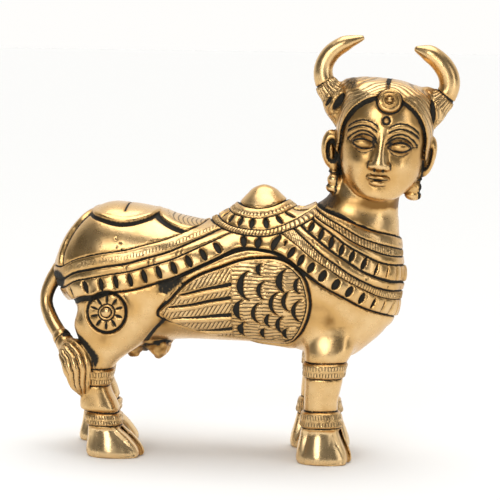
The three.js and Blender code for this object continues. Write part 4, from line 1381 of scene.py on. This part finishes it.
def carve_hair(carving, head, own, on_hair):
    """Strands that follow the opening over the face, soiled along its edge and in the parting."""
    u, v, w = head.T
    away = arch_distance(head) + wander(head, 8, 0.5, 11)
    fan = away / 1.25 + 0.05 * np.abs(u)
    carving.hatch(fan, on_hair * ramp(away, 0.6, 1.0) * 0.42, 0.5)
    carving.hatch(u / 1.4 + 0.1 * v, on_hair * ramp(-away, -0.2, 0.3) * (w < 0), 0.25)

    # Soil under the edge of the hair, and a mark where the parting reaches the crown
    inside = -arch_distance(head)
    near_top = ramp(v, 1, 8) * (0.6 + 0.4 * ramp(-u, 0, 6))
    width = 0.75 + 0.9 * near_top
    carving.soil_and_shade(own * (w > 3) * between(inside, -0.1, width, 0.25))
    parting = np.abs(u - PARTING_AT + 0.04 * (v - 13))
    mark = 0.16 + 0.6 * between(v, 19.3, 22.5, 0.5)
    carving.soil_and_shade(own * (v > 15.2) * (w > -2) * ramp(mark - parting, -0.25, 0.1))
    patch = np.hypot(u - HAIR_PATCH[0], v - HAIR_PATCH[1])
    carving.soil_and_shade(0.62 * on_hair * ramp(-patch, -4.0, -1.5))


def carve_brows(carving, head, front):
    """Two raised lines over each eye, between dark ones."""
    side, v = np.abs(head[:, 0]), head[:, 1]
    brow = 3.8 - 0.10 * (side - 6.4) ** 2
    length = between(side, 1.7, 12.2, 0.3)
    slope = np.sqrt(1 + (0.2 * (side - 6.4)) ** 2)
    for lift, rise in ((0.0, 0.55), (1.8, 0.5)):
        ridge = (v - brow - lift) / slope
        carving.height += rise * front * length * bell(ridge / 0.5)
        carving.groove(ridge - 0.9, 0.34, 0.18, front * length, 0.9)
    carving.groove((v - brow) / slope + 0.85, 0.36, 0.2, front * length, 0.9)


def carve_eyes(carving, head, front):
    """Almond eyes between two lids, with a fold above and a corner drawn out."""
    side, v = np.abs(head[:, 0]), head[:, 1]
    place = (side - EYE["u"]) / EYE["long"]
    tall = EYE["tall"] * np.clip(1 - place**2, 0, 1) ** 0.75
    middle = EYE["v"] + 0.05 * (side - EYE["u"])
    lid = np.abs(v - middle) - tall
    on_eye = front * (np.abs(place) < 1.0)
    carving.height += 0.5 * on_eye * bell((lid - 0.4) / 0.36)
    carving.groove(lid + 0.1, 0.26, 0.25, on_eye, 0.95)
    fold = v - (EYE["v"] + (EYE["tall"] + 1.5) * np.clip(1 - (place / 1.25) ** 2, 0, 1) ** 0.8)
    carving.groove(fold, 0.34, 0.28, front * (np.abs(place) < 1.2), 0.95)
    under = v - (EYE["v"] - (EYE["tall"] + 1.3) * np.clip(1 - (place / 1.1) ** 2, 0, 1) ** 0.8)
    carving.groove(under, 0.26, 0.2, front * (np.abs(place) < 1.05), 0.7)
    corner = v - (EYE["v"] + 0.3 * (side - EYE["u"] - EYE["long"]))
    start = EYE["u"] + EYE["long"] - 0.5
    carving.groove(corner, 0.24, 0.2, front * between(side, start, 12.2, 0.3), 0.75)


def soil_face(carving, head, front):
    """Soil in the corners of the sockets and beside the nose."""
    side, v = np.abs(head[:, 0]), head[:, 1]
    socket = bell((side - 2.7) / 1.0, (v + 0.4) / 2.4)
    fold_line = side - (3.7 - 0.16 * (v + 7.5))
    beside_nose = bell(fold_line / 0.5) * between(v, -9.8, -6.4, 0.6)
    carving.soil_and_shade(front * np.maximum(0.8 * socket, 0.75 * beside_nose))
    carving.stain_and_shade += front * 0.35 * bell((side - 5.6) / 4.2, (v + 1.0) / 3.4)


def carve_mouth(carving, head, front):
    """Mouth, nostrils and the mark between the brows."""
    u, v, w = head.T
    side = np.abs(u)
    parted = v - (-13.2 + 0.04 * u**2)
    carving.groove(parted, 0.26, 0.4, front * ramp(-side, -4.1, -3.5), 0.95)
    for rim in (-11.45 + 0.02 * u**2, -15.5 + 0.07 * u**2):
        carving.groove(v - rim, 0.24, 0.16, front * ramp(-side, -3.4, -2.8), 0.65)
    carving.groove(np.hypot(side - 1.5, (v + 10.0) * 0.8), 0.55, 0.4, front * (w > 14), 0.9)
    mark = np.hypot(u - 0.7, v - 7.1)
    carving.height += 0.6 * front * ramp(-mark, -0.95, -0.4)
    carving.groove(mark - 1.25, 0.42, 0.3, front)


def carve_face(carving, head, on_skin):
    front = on_skin * ramp(head[:, 2], 7, 10)
    carve_brows(carving, head, front)
    carve_eyes(carving, head, front)
    soil_face(carving, head, front)
    carve_mouth(carving, head, front)


CHIN_SHADE = -20.5
NAPE_DARK = (27.5, 91.0)


def carve_head(part):
    head = to_head(part.points)
    own = ramp(-head_distance(part.points), -0.8, -0.3)
    hair = hair_distance(head)
    radius, _ = jewel_frame(head)
    jewelled = ramp(-jewel_distance(head), -0.6, -0.25) * (radius < 4.1) * (head[:, 2] > 8)
    on_hair = own * ramp(-hair, -0.5, -0.15) * (1 - jewelled)
    on_skin = own * (1 - ramp(-hair, -0.7, -0.35)) * (1 - jewelled)
    carve_hair(part, head, own * (1 - jewelled), on_hair)
    carve_face(part, head, on_skin)
    carve_ears(part, head, own)
    part.groove(radius - 4.3, 0.4, 0.3, own * (head[:, 2] > 8) * (1 - jewelled))
    part.soil_and_shade(0.8 * jewelled * bell((radius - 1.4) / 0.28))
    part.soil_and_shade(0.7 * jewelled * bell((radius - 2.85) / 0.3))
    # Painted shade: browner under the chin.
    under_chin = ramp(CHIN_SHADE - head[:, 1], -0.5, 1.5) * ramp(head[:, 1], CHIN_SHADE - 4.5, CHIN_SHADE - 2)
    part.stain_and_shade += 0.5 * under_chin * (head[:, 2] < 12)
    # Darker and browner at the nape below the ear towards the tail, and browner on the throat.
    nape = ramp(-np.hypot(part.x - NAPE_DARK[0], (part.z - NAPE_DARK[1]) * 0.7), -6.5, -2.0) * (1 - own)
    part.soil_and_shade(0.6 * nape)
    part.stain_and_shade += 0.7 * nape + 0.45 * ramp(part.x, 38, 47) * ramp(part.z, 72, 80) * (1 - own)


# Gaps between the locks at the roots of the horns: u, v, half width, half height and lean
CURL_GAPS = [(-20.4, 11.1, 0.9, 2.0, 0.45), (-16.7, 11.4, 1.4, 3.5, 0.45), (15.7, 11.3, 1.1, 4.9, -0.15)]
HORN_LENGTH = 42
HORN_STROKES = 21
CURL_STROKES = 11


def carve_horn(part, horn, curl):
    """Strokes round the ring at the horn's root, and the locks of hair that it stands in."""
    head = to_head(part.points)
    u, v, w = head.T
    gap, share, angle = horn.closest(head)
    mask = ramp(-gap, -1.0, -0.3) * (share > 0.08)
    start, end = HORN_RING
    ring = mask * between(share, start + 0.012, end - 0.012, 0.006)
    part.hatch(angle / (2 * math.pi) * HORN_STROKES, ring, 0.42)
    part.groove((share - start) * HORN_LENGTH, 0.4, 0.4, mask)
    part.groove((share - end) * HORN_LENGTH, 0.36, 0.4, mask)
    gap, share, angle = curl.closest(head)
    on_curl = ramp(-gap, -1.0, -0.2) * (1 - ramp(mask, 0.2, 0.8)) * (np.abs(u) > 13)
    part.hatch(angle / (2 * math.pi) * CURL_STROKES + 1.2 * share, on_curl * 0.4, 0.5)
    for gap_u, gap_v, wide, tall, lean in CURL_GAPS:
        along = v - gap_v
        across = u - gap_u - lean * along
        inside = 1 - (across / wide) ** 2 - (along / tall) ** 2
        part.pit(ramp(inside, -0.3, 0.4), 0.6, on_curl * (w > 0))


hide_forms = [*trunk_forms, legs[2].form, legs[3].form]


def hide_share(points):
    """1 on the trunk and haunches, 0 on what grows out of them."""
    tail_gap = np.full(len(points), 9.0)
    rear = points[:, 0] < -50
    tail_gap[rear] = np.minimum(tail.distance(points[rear]), tassel.distance(points[rear]))
    return ramp(-merged(hide_forms, points), -1.2, -0.5) * ramp(tail_gap, 0.3, 1.0)


def carve_hide(part):
    hide = hide_share(part.points)
    carve_cloths(part, hide)
    carve_back_cloth(part, hide)
    carve_flank(part, hide)


def carve(points, normals):
    carving = Carving(points, normals)
    x, y, z = points.T
    side = np.abs(y) > 9
    carving.where((z > 38) & (z < 98) & (x < 60), carve_hide)
    carving.where((x > -33) & (x < 27) & (z > 38) & (z < 76) & side, carve_wing)
    around = np.hypot(x - ROSETTE[0], z - ROSETTE[1]) < 10
    carving.where(around & side, carve_rosette)
    for leg in legs:
        carving.where(in_box(points, leg.form) & (z < LEG_CARVED), lambda part: carve_leg(part, leg))
    carving.where(x < -48, carve_tail)
    carving.where(in_box(points, udder_forms[0]) & (z < 46), carve_udder)
    carving.where((z > 88) & (x > 15), carve_head)
    for way, horn, curl in zip((-1, 1), horns, curls):
        beside = (z > 108) & (way * (x - HEAD_CENTRE[0]) > 5)
        carving.where(beside, lambda part: carve_horn(part, horn, curl))
    carving.dark = np.clip(carving.dark, 0, 1)
    return carving


ROUNDS = 6
RELAXED_ROUNDS = 2
SHORTEST_EDGE = 0.34
LEAST_MISSED = 0.012
FAR_SIDE = 3


def missed_by(points, normals, carving, a, b):
    """How much shape and soil a straight edge from each point a to its point b leaves out."""
    middle = (points[a] + points[b]) / 2
    normal = normals[a] + normals[b]
    normal /= np.linalg.norm(normal, axis=1, keepdims=True) + 1e-9
    halfway = carve(middle, normal)
    length = np.linalg.norm(points[b] - points[a], axis=1)
    missed = np.abs(halfway.height - (carving.height[a] + carving.height[b]) / 2)
    missed += 0.25 * np.abs(halfway.dark - (carving.dark[a] + carving.dark[b]) / 2)
    missed += 0.25 * np.abs(carving.height[a] - carving.height[b]) * (length > 0.6)
    missed += np.linalg.norm(normals[a] - normals[b], axis=1) * length / 8
    return missed * np.where(middle[:, 1] > FAR_SIDE, 0.5, 1.0)


def sharpened(points, normals, triangles):
    """Splits the edges that miss most of the carving, until the triangles are used up."""
    for turn in range(ROUNDS):
        carving = carve(points, normals)
        edges, places = edges_of(triangles)
        a, b = edges.T
        long = np.flatnonzero(np.linalg.norm(points[b] - points[a], axis=1) > SHORTEST_EDGE)
        missed = missed_by(points, normals, carving, a[long], b[long])
        room = (TRIANGLE_LIMIT - len(triangles)) / 2
        room *= 1.0 if turn == ROUNDS - 1 else 0.5
        order = np.argsort(-missed)[: int(room)]
        order = order[missed[order] > LEAST_MISSED]
        if not len(order):
            break
        chosen = np.zeros(len(edges), bool)
        chosen[long[order]] = True
        settled = len(points)
        points, triangles = refined(points, triangles, edges, places, chosen)
        if turn < RELAXED_ROUNDS:
            points, normals = settle(points, 1)
            points = relaxed(points, normals, triangles, 0.3)
            points, normals = settle(points, 1)
        else:
            points[settled:], outward = settle(points[settled:], 1)
            normals = np.concatenate([normals, outward])
    return points, normals, triangles


HOLLOW_REACHES = (1.2, 3.0, 7.0)
SOIL_AND_SHADE_HALO = 0.7
HALO_ROUNDS = 5


def hollowness(points, normals):
    """How much the skin is hemmed in: 0 in the open, towards 1 in deep corners. It goes into the colour as
    painted shade, and as the tarnish that hollows hold.
    """
    total = np.zeros(len(points))
    for reach in HOLLOW_REACHES:
        clear = field(points + reach * normals) / reach
        total += np.clip(1 - clear, 0, 1) / len(HOLLOW_REACHES)
    return total


def spread(amount, triangles, rounds):
    """The amount, blurred along the mesh."""
    edges, _ = edges_of(triangles)
    a, b = edges.T
    count = np.bincount(a, minlength=len(amount)) + np.bincount(b, minlength=len(amount))
    for _ in range(rounds):
        total = np.bincount(a, amount[b], len(amount)) + np.bincount(b, amount[a], len(amount))
        amount = 0.4 * amount + 0.6 * total / np.maximum(count, 1)
    return amount


points, number, inside = cell_points(sample_grid())
triangles = split_quads(points, grid_quads(number, inside))
for _ in range(2):
    points, normals = settle(points, 1)
    points = relaxed(points, normals, triangles, 0.5)
points, normals = settle(points, 2)
points, normals, triangles = sharpened(points, normals, triangles)
carving = carve(points, normals)
# The brown of the brass: painted shade and tarnish from how hemmed in the skin is, the stains, and the
# darkness of the cuts spread round them.
hollow = hollowness(points, normals) + carving.stain_and_shade
# Painted shade beside the cuts: their darkness, spread along the skin, browns the brass round them.
hollow += SOIL_AND_SHADE_HALO * spread(carving.dark, triangles, HALO_ROUNDS)
points = points + normals * carving.height[:, None]


# Mesh


def to_world(points):
    return (points - np.array([GRID_MIDDLE, 0, 0])) * unit


def make_mesh(name, points, triangles):
    mesh = bpy.data.meshes.new(name)
    mesh.vertices.add(len(points))
    mesh.vertices.foreach_set("co", to_world(points).ravel())
    mesh.loops.add(len(triangles) * 3)
    mesh.loops.foreach_set("vertex_index", triangles.ravel())
    mesh.polygons.add(len(triangles))
    mesh.polygons.foreach_set("loop_start", np.arange(len(triangles)) * 3)
    mesh.update(calc_edges=True)
    mesh.polygons.foreach_set("use_smooth", np.ones(len(triangles), bool))
    return mesh


def add_attribute(mesh, name, values):
    attribute = mesh.attributes.new(name, "FLOAT", "POINT")
    attribute.data.foreach_set("value", values.astype(np.float32))


mesh = make_mesh("cow_statue_casting", points, triangles)
for name, values in (
    ("oxide_and_shade", carving.dark), ("stroke", carving.stroke), ("phase", carving.phase), ("hollow", hollow),
):
    add_attribute(mesh, name, values)
casting = bpy.data.objects.new("cow_statue_casting", mesh)
bpy.context.scene.collection.objects.link(casting)

# Material


class Graph:
    """Shorthand for joining shader nodes."""

    def __init__(self, tree):
        self.nodes = tree.nodes
        self.links = tree.links

    def node(self, kind, **inputs):
        made = self.nodes.new(kind)
        for name, value in inputs.items():
            self.put(made.inputs[name.replace("_", " ")], value)
        return made

    def put(self, socket, value):
        if isinstance(value, bpy.types.NodeSocket):
            self.links.new(value, socket)
        else:
            socket.default_value = value

    def math(self, operation, *values):
        made = self.nodes.new("ShaderNodeMath")
        made.operation = operation
        for socket, value in zip(made.inputs, values):
            self.put(socket, value)
        return made.outputs[0]

    def times(self, first, second):
        return self.math("MULTIPLY", first, second)

    def plus(self, first, second):
        return self.math("ADD", first, second)

    def minus(self, first, second):
        return self.math("SUBTRACT", first, second)

    def attribute(self, name):
        made = self.nodes.new("ShaderNodeAttribute")
        made.attribute_name = name
        return made.outputs["Fac"]

    def step(self, value, low, high):
        made = self.nodes.new("ShaderNodeMapRange")
        made.interpolation_type = "SMOOTHSTEP"
        self.put(made.inputs["Value"], value)
        made.inputs["From Min"].default_value = low
        made.inputs["From Max"].default_value = high
        return made.outputs["Result"]

    def noise(self, scale, detail=3.0, roughness=0.55):
        spot = self.nodes.new("ShaderNodeTexCoord").outputs["Object"]
        wanted = {"Vector": spot, "Scale": scale / unit, "Detail": detail, "Roughness": roughness}
        return self.node("ShaderNodeTexNoise", **wanted).outputs["Fac"]

    def blend(self, factor, first, second):
        made = self.nodes.new("ShaderNodeMix")
        made.data_type = "RGBA"
        made.clamp_factor = True
        for socket, value in zip([i for i in made.inputs if i.enabled], (factor, first, second)):
            self.put(socket, value)
        return next(o for o in made.outputs if o.enabled)


POLISHED = (0.83, 0.585, 0.30, 1)
# The browner colours stand for tarnish and wear and for painted shade in hollows; the near black for oxide in
# the cuts and for painted shade.
WORN_AND_SHADED = (0.62, 0.37, 0.135, 1)
TARNISHED_AND_SHADED = (0.25, 0.125, 0.035, 1)
OXIDE_AND_SHADE = (0.016, 0.013, 0.007, 1)
BUMP_REACH = 1.0


def brass_material():
    """Polished brass, brown in its hollows and nearly black in the cuts, with painted shade in its corners
    and recesses.
    """
    material = bpy.data.materials.new("brass")
    material.use_nodes = True
    graph = Graph(material.node_tree)
    shader = graph.nodes["Principled BSDF"]
    fine = graph.noise(1.6)
    broad = graph.noise(0.09, 4.0)
    speck = graph.noise(0.7, 2.0)

    wave = graph.math("COSINE", graph.times(graph.attribute("phase"), 2 * math.pi))
    line = graph.times(graph.step(wave, 0.35, 0.95), graph.step(graph.attribute("stroke"), 0.1, 0.6))
    uneven = graph.plus(0.45, graph.times(fine, 1.1))
    filled = graph.step(graph.times(graph.attribute("oxide_and_shade"), uneven), 0.3, 0.75)
    struck = graph.times(line, graph.plus(0.62, graph.times(speck, 0.6)))
    dark = graph.math("MAXIMUM", filled, graph.times(struck, 0.85))

    # Painted shade and tarnish: the hollows and stains step the brass to worn, then to tarnished brown.
    stain_and_shade = graph.plus(graph.attribute("hollow"), graph.times(graph.minus(broad, 0.5), 0.9))
    colour = graph.blend(graph.step(stain_and_shade, -0.35, 0.4), POLISHED, WORN_AND_SHADED)
    colour = graph.blend(graph.step(stain_and_shade, 0.35, 0.95), colour, TARNISHED_AND_SHADED)
    graph.put(shader.inputs["Base Color"], graph.blend(dark, colour, OXIDE_AND_SHADE))
    graph.put(shader.inputs["Metallic"], graph.minus(1.0, graph.times(dark, 0.6)))
    smooth = graph.plus(0.22, graph.times(graph.noise(0.3), 0.12))
    rough = graph.plus(smooth, graph.times(graph.step(stain_and_shade, 0.2, 0.9), 0.15))
    graph.put(shader.inputs["Roughness"], graph.math("MAXIMUM", rough, graph.times(dark, 0.7)))

    surface = graph.minus(graph.times(graph.noise(0.5), 0.07), graph.times(line, 0.16))
    bump = graph.node("ShaderNodeBump", Height=surface, Distance=BUMP_REACH * unit, Strength=0.8)
    graph.put(shader.inputs["Normal"], bump.outputs["Normal"])
    return material


mesh.materials.append(brass_material())
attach(casting, "root")
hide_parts("cow_statue")

# Stage: a camera, a pale floor and soft light

TARGET = Vector((1.0 * unit, 0, 71.7 * unit))
AZIMUTH = math.radians(6)
ELEVATION = math.radians(5.8)
ROLL = math.radians(0.8)
DISTANCE = 720 * unit
FOCAL_PIXELS = 2052
IMAGE_WIDTH = 500
SENSOR = 36.0
NEAREST_SEEN = 0.01


def add_camera():
    data = bpy.data.cameras.new("camera")
    data.sensor_width = SENSOR
    data.lens = FOCAL_PIXELS / IMAGE_WIDTH * SENSOR
    data.clip_start = NEAREST_SEEN
    camera = bpy.data.objects.new("camera", data)
    back = Vector((
        math.sin(AZIMUTH) * math.cos(ELEVATION),
        -math.cos(AZIMUTH) * math.cos(ELEVATION),
        math.sin(ELEVATION),
    ))
    camera.location = TARGET + DISTANCE * back
    camera.rotation_mode = "QUATERNION"
    camera.rotation_quaternion = back.to_track_quat("Z", "Y")
    camera.rotation_quaternion.rotate(Quaternion(back, ROLL))
    bpy.context.scene.collection.objects.link(camera)
    bpy.context.scene.camera = camera


FLOOR_REACH = 30.0
FLOOR_COLOUR = (0.9, 0.9, 0.89, 1)
FLOOR_ROUGHNESS = 0.8


def add_floor():
    mesh = bpy.data.meshes.new("floor")
    corners = [(FLOOR_REACH * x, FLOOR_REACH * y, 0) for x, y in ((-1, -1), (1, -1), (1, 1), (-1, 1))]
    mesh.from_pydata(corners, [], [(0, 1, 2, 3)])
    floor = bpy.data.objects.new("floor", mesh)
    material = bpy.data.materials.new("floor")
    material.use_nodes = True
    shader = material.node_tree.nodes["Principled BSDF"]
    shader.inputs["Base Color"].default_value = FLOOR_COLOUR
    shader.inputs["Roughness"].default_value = FLOOR_ROUGHNESS
    mesh.materials.append(material)
    bpy.context.scene.collection.objects.link(floor)


# Lights: place, width and height, and power in watts
LIGHTS = {
    "key": ((-0.18, -0.75, 0.42), (0.5, 0.35), 2.0),
    "low": ((-0.10, -0.75, 0.17), (0.16, 0.10), 0.28),
    "side": ((0.65, -0.40, 0.25), (0.2, 0.5), 0.6),
}
SUN_STRENGTH = 2.2
SUN_SPREAD = math.radians(60)
WORLD_COLOUR = (1.0, 0.99, 0.97, 1)
WORLD_IN_FRONT, WORLD_ADDED_BEHIND = 0.12, 0.88


def add_light(name, place, size, watts):
    data = bpy.data.lights.new(name, "AREA")
    data.shape = "RECTANGLE"
    data.size, data.size_y = size
    data.energy = watts
    light = bpy.data.objects.new(name, data)
    light.location = place
    aim = TARGET - Vector(place)
    light.rotation_mode = "QUATERNION"
    light.rotation_quaternion = aim.to_track_quat("-Z", "Y")
    bpy.context.scene.collection.objects.link(light)


def add_sun():
    data = bpy.data.lights.new("overhead", "SUN")
    data.energy = SUN_STRENGTH
    data.angle = SUN_SPREAD
    bpy.context.scene.collection.objects.link(bpy.data.objects.new("overhead", data))


def add_world():
    """White behind the figure, and dimmer in front, where the metal mirrors it."""
    world = bpy.data.worlds.new("studio")
    world.use_nodes = True
    graph = Graph(world.node_tree)
    heading = graph.nodes.new("ShaderNodeTexCoord").outputs["Generated"]
    parts = graph.node("ShaderNodeSeparateXYZ", Vector=heading)
    behind = graph.step(parts.outputs["Y"], -0.1, 0.75)
    level = graph.plus(WORLD_IN_FRONT, graph.times(behind, WORLD_ADDED_BEHIND))
    background = graph.nodes["Background"]
    background.inputs["Color"].default_value = WORLD_COLOUR
    graph.put(background.inputs["Strength"], level)
    bpy.context.scene.world = world


add_camera()
add_floor()
for name, setting in LIGHTS.items():
    add_light(name, *setting)
add_sun()
add_world()
bpy.context.scene.view_settings.view_transform = "Standard"
